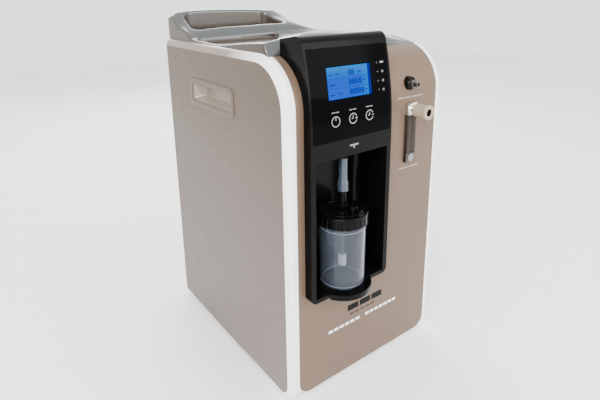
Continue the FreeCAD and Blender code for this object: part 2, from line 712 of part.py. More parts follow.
def console_housing():
    """Black console: frame around the bay below, seat for the leaning display plate above."""
    piece = Piece("console_housing")
    face = behind("-sizes.console_proud")
    low = above("sizes.console_low")
    back = behind("sizes.console_back")
    sides = (CONSOLE_LEFT, CONSOLE_RIGHT)
    wall = "sizes.console_wall"
    piece.outline("x", sides, console_profile("0", back, low))
    piece.fillet(either(*(along("y", x=x, z=low) for x in sides)), 9)
    piece.outline("x", (f"{CONSOLE_LEFT} + {wall}", f"{CONSOLE_RIGHT} - {wall}"),
                  console_profile("(sizes.console_wall + 1.5)", f"{back} + 1", f"{low} + {wall}"),
                  cut=True)
    case_body = front_profile("0", f"{back} + 2", f"{low} - 1")
    piece.outline("x", (f"{CONSOLE_LEFT} - 1", f"{CONSOLE_RIGHT} + 1"), case_body, cut=True)
    piece.box((BAY_LEFT, BAY_RIGHT), (f"{face} - 1", f"{face} + 6"),
              (above("sizes.bay_floor"), above("sizes.frame_lip")), cut=True)
    seat = face_zone("sizes.face_plate", behind("-sizes.console_proud - 5"), "0.3")
    piece.outline("x", (f"{CONSOLE_LEFT} + 3.5", f"{CONSOLE_RIGHT} - 3.5"), seat, cut=True)
    window = about(above("sizes.display_height"), "sizes.display_tall / 2 + 1.5")
    piece.box(about("sizes.display_middle", "sizes.display_wide / 2"), (face, f"{face} + 30"),
              window, cut=True)
    for number in range(3):
        piece.rod("y", key_centre(number), (face, f"{face} + 14"), "sizes.key_radius + 0.4",
                  cut=True)
    for x, z in lamp_places():
        piece.rod("y", (x, z), (face, f"{face} + 30"), "sizes.lamp_radius + 0.1", cut=True)


def face_zone(sink, other, beyond):
    """Side view of the zone between a surface under the leaning face and an upright plane."""
    low = f"(sizes.console_step + 1.5 - {beyond})"
    high = f"(sizes.console_high - 16 + {beyond})"
    return [(face_depth(high, sink), above(high), f"sizes.face_radius - {sink}"),
            (face_depth(low, sink), above(low)), (other, above(low)), (other, above(high))]


def key_centre(number):
    """A key's centre across the case and in height."""
    return f"sizes.key_first + {number} * sizes.key_pitch", above("sizes.key_height")


def lamp_places():
    """The four indicator lamps, one below the other."""
    return [("sizes.lamp_place", above(f"sizes.lamp_first - {number} * sizes.lamp_pitch"))
            for number in range(4)]


def console_face():
    """Glossy curved display plate with its window and its openings for keys and lamps."""
    piece = Piece("console_face")
    face = behind("-sizes.console_proud")
    deep = behind("40")
    piece.outline("x", (f"{CONSOLE_LEFT} + 3.8", f"{CONSOLE_RIGHT} - 3.8"),
                  face_zone("0", deep, "0"))
    piece.outline("x", (f"{CONSOLE_LEFT} + 3", f"{CONSOLE_RIGHT} - 3"),
                  face_zone("(sizes.face_plate - 0.1)", f"{deep} + 1", "1"), cut=True)
    piece.box(about("sizes.display_middle", "sizes.display_wide / 2"), (face, f"{face} + 30"),
              about(above("sizes.display_height"), "sizes.display_tall / 2"), cut=True)
    for number in range(3):
        piece.rod("y", key_centre(number), (f"{face} - 1", f"{face} + 14"),
                  "sizes.key_radius + 0.4", cut=True)
    for x, z in lamp_places():
        piece.rod("y", (x, z), (face, f"{face} + 30"), "sizes.lamp_radius + 0.1", cut=True)


def lean_at(height):
    """How far the display face leans back at a height, in degrees."""
    return math.degrees(math.asin((size(height) - size("console_step")) / size("face_radius")))


def lcd_module():
    """Backlit display, leaning with the face behind its window."""
    piece = Piece("lcd_module")
    piece.box(about("0", "sizes.display_wide / 2 - sizes.gap"), ("0", "sizes.display_thick"),
              about("0", "sizes.display_tall / 2 - sizes.gap"))
    piece.box(about("0", "sizes.display_wide / 2 - sizes.gap"),
              ("sizes.display_thick", "sizes.display_thick + 3"), about("0", 14))
    lean = FreeCAD.Rotation(FreeCAD.Vector(1, 0, 0), -lean_at("display_height"))
    piece.body.Placement = FreeCAD.Placement(FreeCAD.Vector(), lean)
    piece.body.setExpression("Placement.Base.x", "sizes.display_middle")
    piece.body.setExpression("Placement.Base.y", f"{face_depth('sizes.display_height')} + 0.9")
    piece.body.setExpression("Placement.Base.z", above("sizes.display_height"))


def key(label, number):
    """Round key cap with a retaining flange behind the plate; it moves square to the face."""
    piece = Piece(label)
    piece.rod("y", ("0", "0"), ("-sizes.key_proud", "sizes.key_length"), "sizes.key_radius")
    lean = FreeCAD.Rotation(FreeCAD.Vector(1, 0, 0), -lean_at("key_height"))
    piece.body.Placement = FreeCAD.Placement(FreeCAD.Vector(), lean)
    x, z = key_centre(number)
    piece.body.setExpression("Placement.Base.x", x)
    piece.body.setExpression("Placement.Base.y", face_depth("sizes.key_height"))
    piece.body.setExpression("Placement.Base.z", z)


def indicator_lamps():
    """Four light pipes in the display plate."""
    piece = Piece("indicator_lamps")
    for number, (x, z) in enumerate(lamp_places()):
        height = f"(sizes.lamp_first - {number} * sizes.lamp_pitch)"
        start = face_depth(height)
        piece.rod("y", (x, z), (f"{start} + 0.1", f"{start} + 9"), "sizes.lamp_radius")


def control_board():
    """Circuit board behind the display, with key switches and a processor."""
    piece = Piece("control_board")
    board = behind("14")
    piece.box((f"{CONSOLE_LEFT} + 8", f"{CONSOLE_RIGHT} - 8"), (board, f"{board} + 1.6"),
              (above("sizes.console_step + 6"), above("sizes.console_high - 18")))
    for number in range(3):
        x, z = key_centre(number)
        piece.box(about(x, 5), (behind("-5.4"), board), about(z, 5))
    piece.box(about("sizes.display_middle", 12), (f"{board} + 1.6", f"{board} + 4"),
              about(above("sizes.display_height"), 12))
    piece.box(about("sizes.display_middle", 36), (f"{board} - 4", board),
              about(above("sizes.display_height"), 4))


# ---------------------------------------------------------------- humidifier bay

JAR_X = "sizes.jar_place"
JAR_Y = behind("sizes.jar_setback")
JAR_LOW = above("sizes.bay_floor + sizes.gap")
JAR_TOP = above("sizes.bay_floor + sizes.gap + sizes.jar_height")
CAP_TOP = above("sizes.bay_floor + sizes.gap + sizes.jar_height + sizes.cap_height")
BAY_CEILING = above("sizes.frame_lip")


def humidifier_bay():
    """Black box let into the front: floor, ceiling, side walls and a rounded back."""
    piece = Piece("humidifier_bay")
    wall = "sizes.bay_wall"
    front = behind("-sizes.console_proud + sizes.console_wall + 1.5 + sizes.gap")
    back = BAY_BACK
    floor = above("sizes.bay_floor")
    x = (BAY_LEFT, BAY_RIGHT)
    outer_x = (f"{x[0]} - {wall}", f"{x[1]} + {wall}")
    piece.box(outer_x, (front, f"{back} + {wall}"), (f"{floor} - {wall}", f"{BAY_CEILING} + {wall}"))
    piece.box(x, (f"{front} - 1", back), (floor, BAY_CEILING), cut=True)
    piece.fillet(either(*(along("z", x=place, y=back) for place in x)), "sizes.bay_corner")
    piece.rod("z", (JAR_X, JAR_Y), (BAY_CEILING, f"{BAY_CEILING} + {wall} + 1"), 5.2, cut=True)


def shelf_lip():
    """Rounded lip of the bay's floor that carries the humidifier in front of the console."""
    piece = Piece("shelf_lip")
    top = above("sizes.bay_floor")
    low = f"{top} - sizes.shelf_thick"
    piece.rod("z", (JAR_X, JAR_Y), (low, top), "sizes.shelf_radius")
    piece.fillet(lying_on("z", low), 3)
    piece.box(about(JAR_X, "sizes.shelf_radius + 1"),
              (behind("-sizes.console_proud"), behind("sizes.shelf_radius + 10")),
              (f"{low} - 1", f"{top} + 1"), cut=True)


def oxygen_port():
    """Outlet nozzle in the bay's ceiling that the link tube plugs onto."""
    piece = Piece("oxygen_port")
    end = f"{BAY_CEILING} - sizes.port_drop"
    piece.rod("z", (JAR_X, JAR_Y), (end, f"{BAY_CEILING} + 14"), 3.6)
    piece.rod("z", (JAR_X, JAR_Y), (f"{BAY_CEILING} + sizes.bay_wall", f"{BAY_CEILING} + 6"), 8)
    piece.rod("z", (JAR_X, JAR_Y), (f"{end} - 1", f"{BAY_CEILING} + 15"), 2, cut=True)


def link_tube():
    """Clear soft tube with a thicker collar, from the stem up to the oxygen port."""
    piece = Piece("link_tube")
    low = f"{CAP_TOP} + sizes.stem_length - 10"
    top = f"{BAY_CEILING} - sizes.port_drop - 1"
    centre = (JAR_X, JAR_Y)
    piece.rod("z", centre, (low, top), "sizes.tube_radius")
    piece.rod("z", centre, (low, f"{low} + sizes.collar_height"), "sizes.collar_radius")
    piece.rod("z", centre, (f"{low} - 1", f"{top} + 1"), "sizes.tube_bore", cut=True)


def inlet_stem():
    """Black inlet stem of the humidifier: a nut, a shoulder and a nipple."""
    piece = Piece("inlet_stem")
    centre = (JAR_X, JAR_Y)
    top = f"{CAP_TOP} + sizes.stem_length"
    piece.rod("z", centre, (CAP_TOP, f"{CAP_TOP} + 9"), 9)
    piece.rod("z", centre, (f"{CAP_TOP} + 9", f"{top} - 10"), "sizes.stem_radius")
    piece.rod("z", centre, (f"{top} - 10", top), "sizes.tube_bore - 0.02")
    piece.rod("z", centre, (f"{CAP_TOP} - 1", f"{top} + 1"), 2, cut=True)


def humidifier_cap():
    """Screw cap with a grooved skirt, hollow for the jar's neck."""
    piece = Piece("humidifier_cap")
    centre = (JAR_X, JAR_Y)
    low = f"{JAR_TOP} + sizes.gap"
    piece.rod("z", centre, (low, CAP_TOP), "sizes.cap_radius")
    piece.fillet(lying_on("z", CAP_TOP), 3)
    piece.rod("z", centre, (f"{low} - 1", f"{JAR_TOP} + sizes.neck_height + 2.5"),
              "sizes.jar_neck + sizes.gap", cut=True)
    piece.rod("z", centre, (JAR_TOP, f"{CAP_TOP} + 1"), "sizes.dip_radius + 0.02", cut=True)
    for number in range(24):
        angle = f"{number} * 15deg"
        rib = (f"{JAR_X} + (sizes.cap_radius + 0.6) * cos({angle})",
               f"{JAR_Y} + (sizes.cap_radius + 0.6) * sin({angle})")
        piece.rod("z", rib, (f"{low} - 1", f"{CAP_TOP} - 4"), 1.6, cut=True)


def outlet_barb():
    """Humidifier outlet: an upright boss with a nozzle towards the front."""
    piece = Piece("outlet_barb")
    y = f"({JAR_Y} - 22)"
    piece.rod("z", (JAR_X, y), (CAP_TOP, f"{CAP_TOP} + 12"), 6)
    piece.rod("y", (JAR_X, f"{CAP_TOP} + 6.5"), (f"{y} - 17", y), 4.2)
    piece.rod("y", (JAR_X, f"{CAP_TOP} + 6.5"), (f"{y} - 15", f"{y} - 12"), 5)
    piece.rod("y", (JAR_X, f"{CAP_TOP} + 6.5"), (f"{y} - 18", f"{y} - 2"), 2, cut=True)


def jar():
    """Clear tapered jar with a narrower neck that screws into the cap."""
    piece = Piece("jar")
    centre = (JAR_X, JAR_Y)
    neck_top = f"{JAR_TOP} + sizes.neck_height"
    wall = "sizes.jar_wall"
    piece.cone(centre, (JAR_LOW, JAR_TOP), "sizes.jar_foot", "sizes.jar_mouth")
    piece.fillet(lying_on("z", JAR_LOW), 4)
    piece.rod("z", centre, (JAR_TOP, neck_top), "sizes.jar_neck")
    piece.cone(centre, (f"{JAR_LOW} + {wall}", f"{JAR_TOP}"),
               f"sizes.jar_foot - {wall}", f"sizes.jar_neck - {wall}", cut=True)
    piece.rod("z", centre, (JAR_TOP, f"{neck_top} + 1"), f"sizes.jar_neck - {wall}", cut=True)


def jar_seal():
    """Flat gasket between the cap and the rim of the jar's neck."""
    piece = Piece("jar_seal")
    low = f"{JAR_TOP} + sizes.neck_height + sizes.gap"
    high = f"{JAR_TOP} + sizes.neck_height + 2.5"
    piece.rod("z", (JAR_X, JAR_Y), (low, high), "sizes.jar_neck")
    piece.rod("z", (JAR_X, JAR_Y), (f"{low} - 1", f"{high} + 1"), "sizes.jar_neck - 3", cut=True)


def dip_tube():
    """Tube from the cap down to the diffuser."""
    piece = Piece("dip_tube")
    low = f"{JAR_LOW} + sizes.diffuser_lift + sizes.diffuser_height - 6"
    piece.rod("z", (JAR_X, JAR_Y), (low, CAP_TOP), "sizes.dip_radius")
    piece.rod("z", (JAR_X, JAR_Y), (f"{low} - 1", f"{CAP_TOP} + 1"), 2, cut=True)


def bubble_diffuser():
    """Porous diffuser on the end of the dip tube."""
    piece = Piece("bubble_diffuser")
    low = f"{JAR_LOW} + sizes.diffuser_lift"
    high = f"{low} + sizes.diffuser_height"
    piece.rod("z", (JAR_X, JAR_Y), (low, high), "sizes.diffuser_radius")
    piece.rod("z", (JAR_X, JAR_Y), (f"{high} - 6", f"{high} + 1"), "sizes.dip_radius + 0.02",
              cut=True)


# ---------------------------------------------------------------- nebuliser port, flowmeter

FLOAT_X = "(sizes.meter_place - sizes.meter_wide / 2 + sizes.meter_bore + 1.6)"
FLOAT_Y = behind("-sizes.meter_proud + sizes.meter_bore + 1.6")


def nebuliser_port():
    """Threaded outlet: a dark base ring, a hexagon and a nipple."""
    piece = Piece("nebuliser_port")
    centre = ("sizes.outlet_place", above("sizes.outlet_height"))
    piece.rod("y", centre, (behind("-3"), behind("8")), 10)
    piece.rod("y", centre, (behind("8"), behind("16")), 6)
    piece.rod("y", centre, (behind("-9"), behind("-3")), 6)
    piece.rod("y", centre, (behind("-17"), behind("-9")), 4)
    piece.rod("y", centre, (behind("-18"), behind("17")), 2.2, cut=True)


def flowmeter_block():
    """Clear block of the flowmeter with the float's bore."""
    piece = Piece("flowmeter_block")
    z = (above("sizes.meter_low"), above("sizes.meter_high"))
    piece.box(about("sizes.meter_place", "sizes.meter_wide / 2"),
              (behind("-sizes.meter_proud"), behind("sizes.meter_inside")), z)
    piece.rod("z", (FLOAT_X, FLOAT_Y), (f"{z[0]} - 1", f"{z[1]} + 1"), "sizes.meter_bore",
              cut=True)


def flowmeter_fittings():
    """Bright end fittings of the flowmeter; the upper one is the needle valve's body."""
    piece = Piece("flowmeter_fittings")
    low = above("sizes.meter_low")
    high = above("sizes.meter_high")
    y = (behind("-sizes.meter_proud"), behind("sizes.meter_inside"))
    x = about("sizes.meter_place", "sizes.meter_wide / 2")
    piece.box(x, y, (f"{low} - 14", low))
    piece.box(x, y, (high, f"{high} + 18"))
    knob = ("sizes.meter_place", above("sizes.knob_height"))
    piece.rod("y", knob, (behind("-sizes.knob_start + 1"), behind("-sizes.meter_proud")), 7)
    piece.rod("y", knob, (behind("-sizes.knob_start"), behind("6")),
              "sizes.spindle_radius + 0.05", cut=True)
    piece.rod("y", ("sizes.meter_place", f"{low} - 7"), (y[1], f"{y[1]} + 10"), 4)


def float_ball():
    """Black float, resting at the bottom of its bore."""
    piece = Piece("float_ball")
    rest = f"{above('sizes.meter_low')} + sizes.float_radius"
    piece.ball(FLOAT_X, FLOAT_Y, rest, "sizes.float_radius")


def valve_spindle():
    """Needle valve's spindle, turned by the knob."""
    piece = Piece("valve_spindle")
    centre = ("sizes.meter_place", above("sizes.knob_height"))
    start = behind("-sizes.knob_start - 12")
    piece.rod("y", centre, (start, behind("5")), "sizes.spindle_radius")


def flow_knob():
    """Round cream knob with a dished end."""
    piece = Piece("flow_knob")
    centre = ("sizes.meter_place", above("sizes.knob_height"))
    end = behind("-sizes.knob_start - sizes.knob_length")
    start = behind("-sizes.knob_start")
    piece.rod("y", centre, (end, start), "sizes.knob_radius")
    piece.fillet(lying_on("y", end), 2)
    piece.rod("y", centre, (f"{end} - 1", f"{end} + 5"), 5, cut=True)
    piece.rod("y", centre, (f"{start} - 12", f"{start} + 1"), "sizes.spindle_radius", cut=True)


# ---------------------------------------------------------------- rear fittings

HINGE_Y = f"({REAR_FACE} - 0.3)"
HINGE_Z = above("sizes.hinge_height")
DOOR_Y = (f"{REAR_FACE} + sizes.gap", f"{REAR_FACE} + sizes.gap + sizes.door_thick")


def filter_door():
    """Louvred door over the intake filter, with a hinge barrel along its lower edge."""
    piece = Piece("filter_door")
    z = (above("sizes.door_low"), above("sizes.door_high"))
    x = ("sizes.door_left", "sizes.door_right")
    piece.box(x, DOOR_Y, z)
    corners = either(*(along("y", x=place, z=z[1]) for place in x))
    piece.fillet(corners, 4)
    web = ("sizes.door_left + 15", "sizes.door_right - 15")
    piece.box(web, DOOR_Y, (HINGE_Z, z[0]))
    piece.rod("x", (HINGE_Y, HINGE_Z), web, "sizes.pin_radius + 1.4")
    piece.rod("x", (HINGE_Y, HINGE_Z), (f"{web[0]} - 1", f"{web[1]} + 1"),
              "sizes.pin_radius + 0.05", cut=True)
    for row in range(7):
        low = f"{z[0]} + 14 + {row} * 11"
        piece.box((f"{x[0]} + 14", f"{x[1]} - 14"), (f"{DOOR_Y[0]} - 1", f"{DOOR_Y[1]} + 1"),
                  (low, f"{low} + 5"), cut=True)


def hinge_pin():
    """Steel pin of the filter door."""
    piece = Piece("hinge_pin")
    piece.rod("x", (HINGE_Y, HINGE_Z), ("sizes.door_left + 4", "sizes.door_right - 4"),
              "sizes.pin_radius")


def intake_filter():
    """Foam filter in its frame behind the door."""
    piece = Piece("intake_filter")
    y = (f"{REAR_FACE} - sizes.rear_wall - 16", f"{REAR_FACE} - sizes.rear_wall - 0.3")
    x = ("sizes.door_left + 1", "sizes.door_right - 1")
    z = (above("sizes.door_low + 2"), above("sizes.door_high - 2"))
    piece.box(x, y, z)
    piece.fillet(either(*(along("y", x=a, z=b) for a in x for b in z)), 3)


def power_inlet():
    """Mains inlet socket with three blades."""
    piece = Piece("power_inlet")
    x = "sizes.inlet_place"
    z = above("sizes.inlet_height")
    piece.box(about(x, 22), (REAR_FACE, f"{REAR_FACE} + 2.5"), about(z, 12))
    piece.box(about(x, 13.5), (f"{REAR_FACE} - 24", REAR_FACE), about(z, 9.5))
    piece.box(about(x, 12), (f"{REAR_FACE} - 17", f"{REAR_FACE} + 3"), about(z, 8), cut=True)
    for across, up in ((-7, -1.5), (0, 2.5), (7, -1.5)):
        piece.box(about(f"{x} + {across}", 1), (f"{REAR_FACE} - 17", f"{REAR_FACE} - 2"),
                  about(f"{z} + {up}", 2))


def breaker_body():
    """Circuit breaker: a threaded bush in the rear panel, its nut and its housing."""
    piece = Piece("breaker_body")
    centre = ("sizes.breaker_place", above("sizes.inlet_height"))
    inside = f"{REAR_FACE} - sizes.rear_wall"
    piece.rod("y", centre, (inside, f"{REAR_FACE} + 1.8"), 6)
    piece.rod("y", centre, (REAR_FACE, f"{REAR_FACE} + 1.6"), 8)
    piece.box(about(centre[0], 8), (f"{inside} - 26", inside), about(centre[1], 15))
    piece.rod("y", centre, (f"{inside} - 8", f"{REAR_FACE} + 3"), 3.6, cut=True)


def breaker_button():
    """Reset button of the circuit breaker."""
    piece = Piece("breaker_button")
    centre = ("sizes.breaker_place", above("sizes.inlet_height"))
    piece.rod("y", centre, (f"{REAR_FACE} - 7", f"{REAR_FACE} + 3.1"), 3.3)


# ---------------------------------------------------------------- inside

SHAFT_Y = behind("sizes.shaft_depth")
SHAFT_Z = above("sizes.shaft_height")
TRAY_TOP = above("sizes.tray_lift + sizes.tray_wall")
SHELF = above("sizes.shelf_height")
MOTOR_BASE = f"({SHAFT_Z} - sizes.motor_radius - 8)"


def inner_frame():
    """Sheet-steel frame: two side plates and the shelf between compressor and sieve beds."""
    piece = Piece("inner_frame")
    y = (behind("84"), behind("sizes.case_depth - 14"))
    wall = "sizes.plate_wall"
    tray_edge = f"({INNER} - sizes.tray_wall - sizes.gap)"
    for side in (-1, 1):
        piece.box(mirrored(side, f"{tray_edge} - {wall}", tray_edge), y,
                  (TRAY_TOP, above("sizes.grip_low - 12")))
    piece.box((f"-{tray_edge} + {wall}", f"{tray_edge} - {wall}"), y,
              (f"{SHELF} - {wall}", SHELF))
    fan = ("sizes.fan_place", behind("sizes.fan_depth"))
    below_shelf = (f"{SHELF} - {wall} - 1", f"{SHELF} + 1")
    for edge in (f"-{tray_edge}", f"{tray_edge} - {wall}"):
        for depth in (150, 250):
            piece.box((f"{edge} - 1", f"{edge} + {wall} + 1"), about(behind(depth), 34),
                      (above("50"), above("140")), cut=True)
    piece.rod("z", fan, below_shelf, "sizes.fan_size / 2 - 4", cut=True)


def mount_places():
    """The four rubber mounts of the compressor."""
    return [(f"{x} * 82", f"{SHAFT_Y} + {y} * 46") for x in (-1, 1) for y in (-1, 1)]


def compressor_mounts():
    """Four rubber mounts between the base tray and the compressor's foot plate."""
    piece = Piece("compressor_mounts")
    for x, y in mount_places():
        piece.rod("z", (x, y), (TRAY_TOP, f"{MOTOR_BASE} - 3"), 10)
        piece.rod("z", (x, y), (f"{MOTOR_BASE} - 3", f"{MOTOR_BASE} + 2"), 3)


def motor_housing():
    """Round motor housing on its foot plate, bored for the rotor."""
    piece = Piece("motor_housing")
    span = ("-sizes.motor_half", "sizes.motor_half")
    centre = (SHAFT_Y, SHAFT_Z)
    piece.box(about("0", 96), about(SHAFT_Y, 58), (f"{MOTOR_BASE} - 3", MOTOR_BASE))
    for x, y in mount_places():
        piece.rod("z", (x, y), (f"{MOTOR_BASE} - 4", f"{MOTOR_BASE} + 1"), 3.2, cut=True)
    piece.box(about("0", 40), about(SHAFT_Y, 28), (MOTOR_BASE, SHAFT_Z))
    piece.rod("x", centre, span, "sizes.motor_radius")
    piece.rod("x", centre, (f"{span[0]} - 1", f"{span[1]} + 1"), "sizes.motor_radius - 8",
              cut=True)


def crankcase_span(side):
    """A crankcase's span along the shaft."""
    return mirrored(side, "sizes.motor_half", "sizes.motor_half + sizes.crankcase_wide")


def crankcases():
    """Two identical crankcases with bearings for the shaft and a cylinder standing on each."""
    piece = Piece("crankcases")
    z = (f"{SHAFT_Z} - 36", f"{SHAFT_Z} + 36")
    y = about(SHAFT_Y, 36)
    for side in (-1, 1):
        piece.box(crankcase_span(side), y, z)
    piece.fillet(either(*(along("x", y=a, z=b) for a in y for b in z)), 8)
    for side in (-1, 1):
        x = crankcase_span(side)
        middle = f"({x[0]} + {x[1]}) / 2"
        piece.rod("z", (middle, SHAFT_Y), (z[1], f"{z[1]} + 30"), "sizes.bore_radius + 4")
        for number in range(4):
            low = f"{z[1]} + 5 + {number} * 6"
            piece.box(about(middle, 22), about(SHAFT_Y, 26), (low, f"{low} + 2"))
        piece.rod("x", (SHAFT_Y, SHAFT_Z), (f"{x[0]} + 5", f"{x[1]} - 5"), 31, cut=True)
        piece.rod("x", (SHAFT_Y, SHAFT_Z), (f"{x[0]} - 1", f"{x[1]} + 1"),
                  "sizes.shaft_radius + 0.05", cut=True)
        piece.rod("z", (middle, SHAFT_Y), (SHAFT_Z, f"{z[1]} + 31"), "sizes.bore_radius",
                  cut=True)


def cylinder_heads():
    """Finned heads on the two cylinders."""
    piece = Piece("cylinder_heads")
    low = f"{SHAFT_Z} + 66"
    for side in (-1, 1):
        x = crankcase_span(side)
        middle = f"({x[0]} + {x[1]}) / 2"
        piece.box(about(middle, 24), about(SHAFT_Y, 28), (low, f"{low} + 18"))
        for number in range(5):
            slot = f"{middle} - 19 + {number} * 8"
            piece.box((slot, f"{slot} + 5"), about(SHAFT_Y, 29), (f"{low} + 8", f"{low} + 19"),
                      cut=True)


def crankshaft():
    """Motor shaft with its rotor, two cranks and a cooling fan outside each crankcase."""
    piece = Piece("crankshaft")
    centre = (SHAFT_Y, SHAFT_Z)
    end = "(sizes.motor_half + sizes.crankcase_wide + 12)"
    piece.rod("x", centre, (f"-{end}", end), "sizes.shaft_radius")
    piece.rod("x", centre, ("-sizes.motor_half + 8", "sizes.motor_half - 8"),
              "sizes.motor_radius - 12")
    for side in (-1, 1):
        x = crankcase_span(side)
        middle = f"({x[0]} + {x[1]}) / 2"
        crank = (f"{SHAFT_Y} + {side} * sizes.crank_throw", SHAFT_Z)
        piece.rod("x", crank, about(middle, 6), 12)
        blade_x = mirrored(side, f"{end} - 9", end)
        piece.rod("x", centre, blade_x, 12)
        for number in range(3):
            piece.box(blade_x, about(SHAFT_Y, 30 if number else 1.5),
                      about(SHAFT_Z, 1.5 if number else 30))


def piston(label, side):
    """Piston with its rod and the ring that runs around the crank."""
    piece = Piece(label)
    x = crankcase_span(side)
    middle = f"({x[0]} + {x[1]}) / 2"
    crown = f"{SHAFT_Z} + 58"
    piece.rod("z", (middle, SHAFT_Y), (f"{crown} - 8", crown), "sizes.bore_radius - 0.3")
    piece.box(about(middle, 4), about(SHAFT_Y, 6), (f"{SHAFT_Z} + 23", f"{crown} - 8"))
    piece.rod("x", (SHAFT_Y, SHAFT_Z), about(middle, 5), 25)
    piece.rod("x", (SHAFT_Y, SHAFT_Z), about(middle, 6), "12 + 2 * sizes.crank_throw + 0.5",
              cut=True)


def bed_place(number):
    """Axis of a sieve bed, or of the product tank as the third one."""
    return f"sizes.bed_left + {number} * sizes.bed_pitch", behind("sizes.bed_depth")


def sieve_beds():
    """Two identical sieve beds: tubes of zeolite, each closed by two flanged caps."""
    piece = Piece("sieve_beds")
    low = above("sizes.bed_low")
    high = above("sizes.bed_high")
    for number in range(2):
        centre = bed_place(number)
        piece.rod("z", centre, (low, high), "sizes.bed_radius - 2")
        piece.rod("z", centre, (low, f"{low} + 14"), "sizes.bed_radius")
        piece.rod("z", centre, (f"{high} - 14", high), "sizes.bed_radius")
        piece.rod("z", centre, (SHELF, low), 8)


def product_tank():
    """Plain tank that stores the product gas."""
    piece = Piece("product_tank")
    centre = bed_place(2)
    low = above("sizes.bed_low")
    high = above("sizes.bed_high - 26")
    piece.rod("z", centre, (low, high), "sizes.bed_radius")
    piece.fillet(either(lying_on("z", low), lying_on("z", high)), 9)
    piece.rod("z", centre, (SHELF, f"{low} + 2"), 12)


def valve_block():
    """Manifold across the two sieve beds."""
    piece = Piece("valve_block")
    low = above("sizes.bed_high")
    x = ("sizes.bed_left - 26", "sizes.bed_left + sizes.bed_pitch + 26")
    piece.box(x, about(behind("sizes.bed_depth"), 22), (low, f"{low} + 20"))
    piece.chamfer(lying_on("z", f"{low} + 20"), 1)


def solenoid_valves():
    """Four solenoid valves on the manifold."""
    piece = Piece("solenoid_valves")
    low = f"{above('sizes.bed_high')} + 20"
    for number in range(4):
        x = f"sizes.bed_left - 10 + {number} * 32"
        y = behind("sizes.bed_depth")
        piece.box(about(x, 10), about(y, 14), (low, f"{low} + 26"))
        piece.rod("z", (x, y), (f"{low} + 26", f"{low} + 34"), 5)


def pressure_regulator():
    """Regulator on the product tank, with its bonnet and outlet."""
    piece = Piece("pressure_regulator")
    x, y = bed_place(2)
    low = above("sizes.bed_high - 26")
    piece.rod("z", (x, y), (low, f"{low} + 20"), 14)
    piece.rod("z", (x, y), (f"{low} + 20", f"{low} + 34"), 10)
    piece.rod("y", (x, f"{low} + 10"), (f"{y} - 26", y), 4)


def cooling_coil():
    """Copper coil that cools the compressed air in the fan's stream."""
    piece = Piece("cooling_coil")
    centre = ("sizes.fan_place", behind("sizes.fan_depth"))
    low = f"{SHELF} + sizes.fan_thick + 8"
    for number in range(4):
        piece.ring("z", (*centre, f"{low} + {number} * 11"), 46, 4)
    for side in (-1, 1):
        tie = f"{centre[0]} + {side} * 46"
        piece.box(about(tie, 3), about(centre[1], 5), (f"{low} - 8", f"{low} + 35"))


def fan_frame():
    """Square fan frame with a hub carried by four arms."""
    piece = Piece("fan_frame")
    x = "sizes.fan_place"
    y = behind("sizes.fan_depth")
    half = "sizes.fan_size / 2"
    high = f"{SHELF} + sizes.fan_thick"
    piece.box(about(x, half), about(y, half), (SHELF, high))
    piece.fillet(either(*(along("z", x=a, y=b) for a in about(x, half) for b in about(y, half))),
                 5)
    piece.rod("z", (x, y), (f"{SHELF} - 1", f"{high} + 1"), f"{half} - 3", cut=True)
    piece.rod("z", (x, y), (SHELF, f"{SHELF} + 3"), 20)
    piece.box(about(x, f"{half} - 1"), about(y, 3), (SHELF, f"{SHELF} + 3"))
    piece.box(about(x, 3), about(y, f"{half} - 1"), (SHELF, f"{SHELF} + 3"))


def fan_rotor():
    """Fan rotor: a hub with seven pitched blades."""
    piece = Piece("fan_rotor")
    low = f"{SHELF} + 3.5"
    high = f"{SHELF} + sizes.fan_thick - 1"
    x = "sizes.fan_place"
    y = behind("sizes.fan_depth")
    piece.rod("z", (x, y), (low, high), 20)
    DOC.recompute()
    reach = size("fan_size") / 2 - 5
    rotor = DOC.addObject("Part::MultiFuse", "fan_rotor")
    blades = []
    for number in range(7):
        blade = DOC.addObject("Part::Box", "Blade")
        blade.Length = reach - 18
        blade.Width = 18
        blade.Height = 1.6
        pitch = FreeCAD.Rotation(FreeCAD.Vector(1, 0, 0), 35)
        spin = FreeCAD.Rotation(FreeCAD.Vector(0, 0, 1), 360 / 7 * number)
        centre = FreeCAD.Vector(value(x), value(y), (value(low) + value(high)) / 2)
        offset = FreeCAD.Placement(FreeCAD.Vector(18, -7, -6), pitch)
        blade.Placement = FreeCAD.Placement(centre, spin).multiply(offset)
        blades.append(blade)
    rotor.Shapes = [piece.body] + blades
    piece.body.Label = "FanHub"
    rotor.Label = "fan_rotor"
    return rotor


def silencer():
    """Intake silencer canister beside the product tank."""
    piece = Piece("silencer")
    centre = ("sizes.bed_left + 2 * sizes.bed_pitch + sizes.bed_radius + 20", behind("318"))
    low = SHELF
    piece.rod("z", centre, (low, f"{low} + 110"), 16)
    piece.fillet(lying_on("z", f"{low} + 110"), 5)
    piece.rod("z", centre, (f"{low} + 110", f"{low} + 122"), 5)


def power_board():
    """Supply board on the right side plate, with its transformer and capacitors."""
    piece = Piece("power_board")
    wall = f"({INNER} - sizes.tray_wall - sizes.gap - sizes.plate_wall)"
    x = f"{wall} - 8"
    low = above("240")
    piece.box((f"{x} - 1.6", x), (behind("196"), behind("286")), (low, f"{low} + 110"))
    piece.box((f"{x} - 30", f"{x} - 1.6"), (behind("204"), behind("246")),
              (f"{low} + 10", f"{low} + 58"))
    for number in range(3):
        y = behind(f"212 + {number} * 24")
        piece.rod("x", (y, f"{low} + 84"), (f"{x} - 24", f"{x} - 1.6"), 8)
    for y in (behind("201"), behind("281")):
        for z in (f"{low} + 5", f"{low} + 105"):
            piece.rod("x", (y, z), (x, wall), 3)


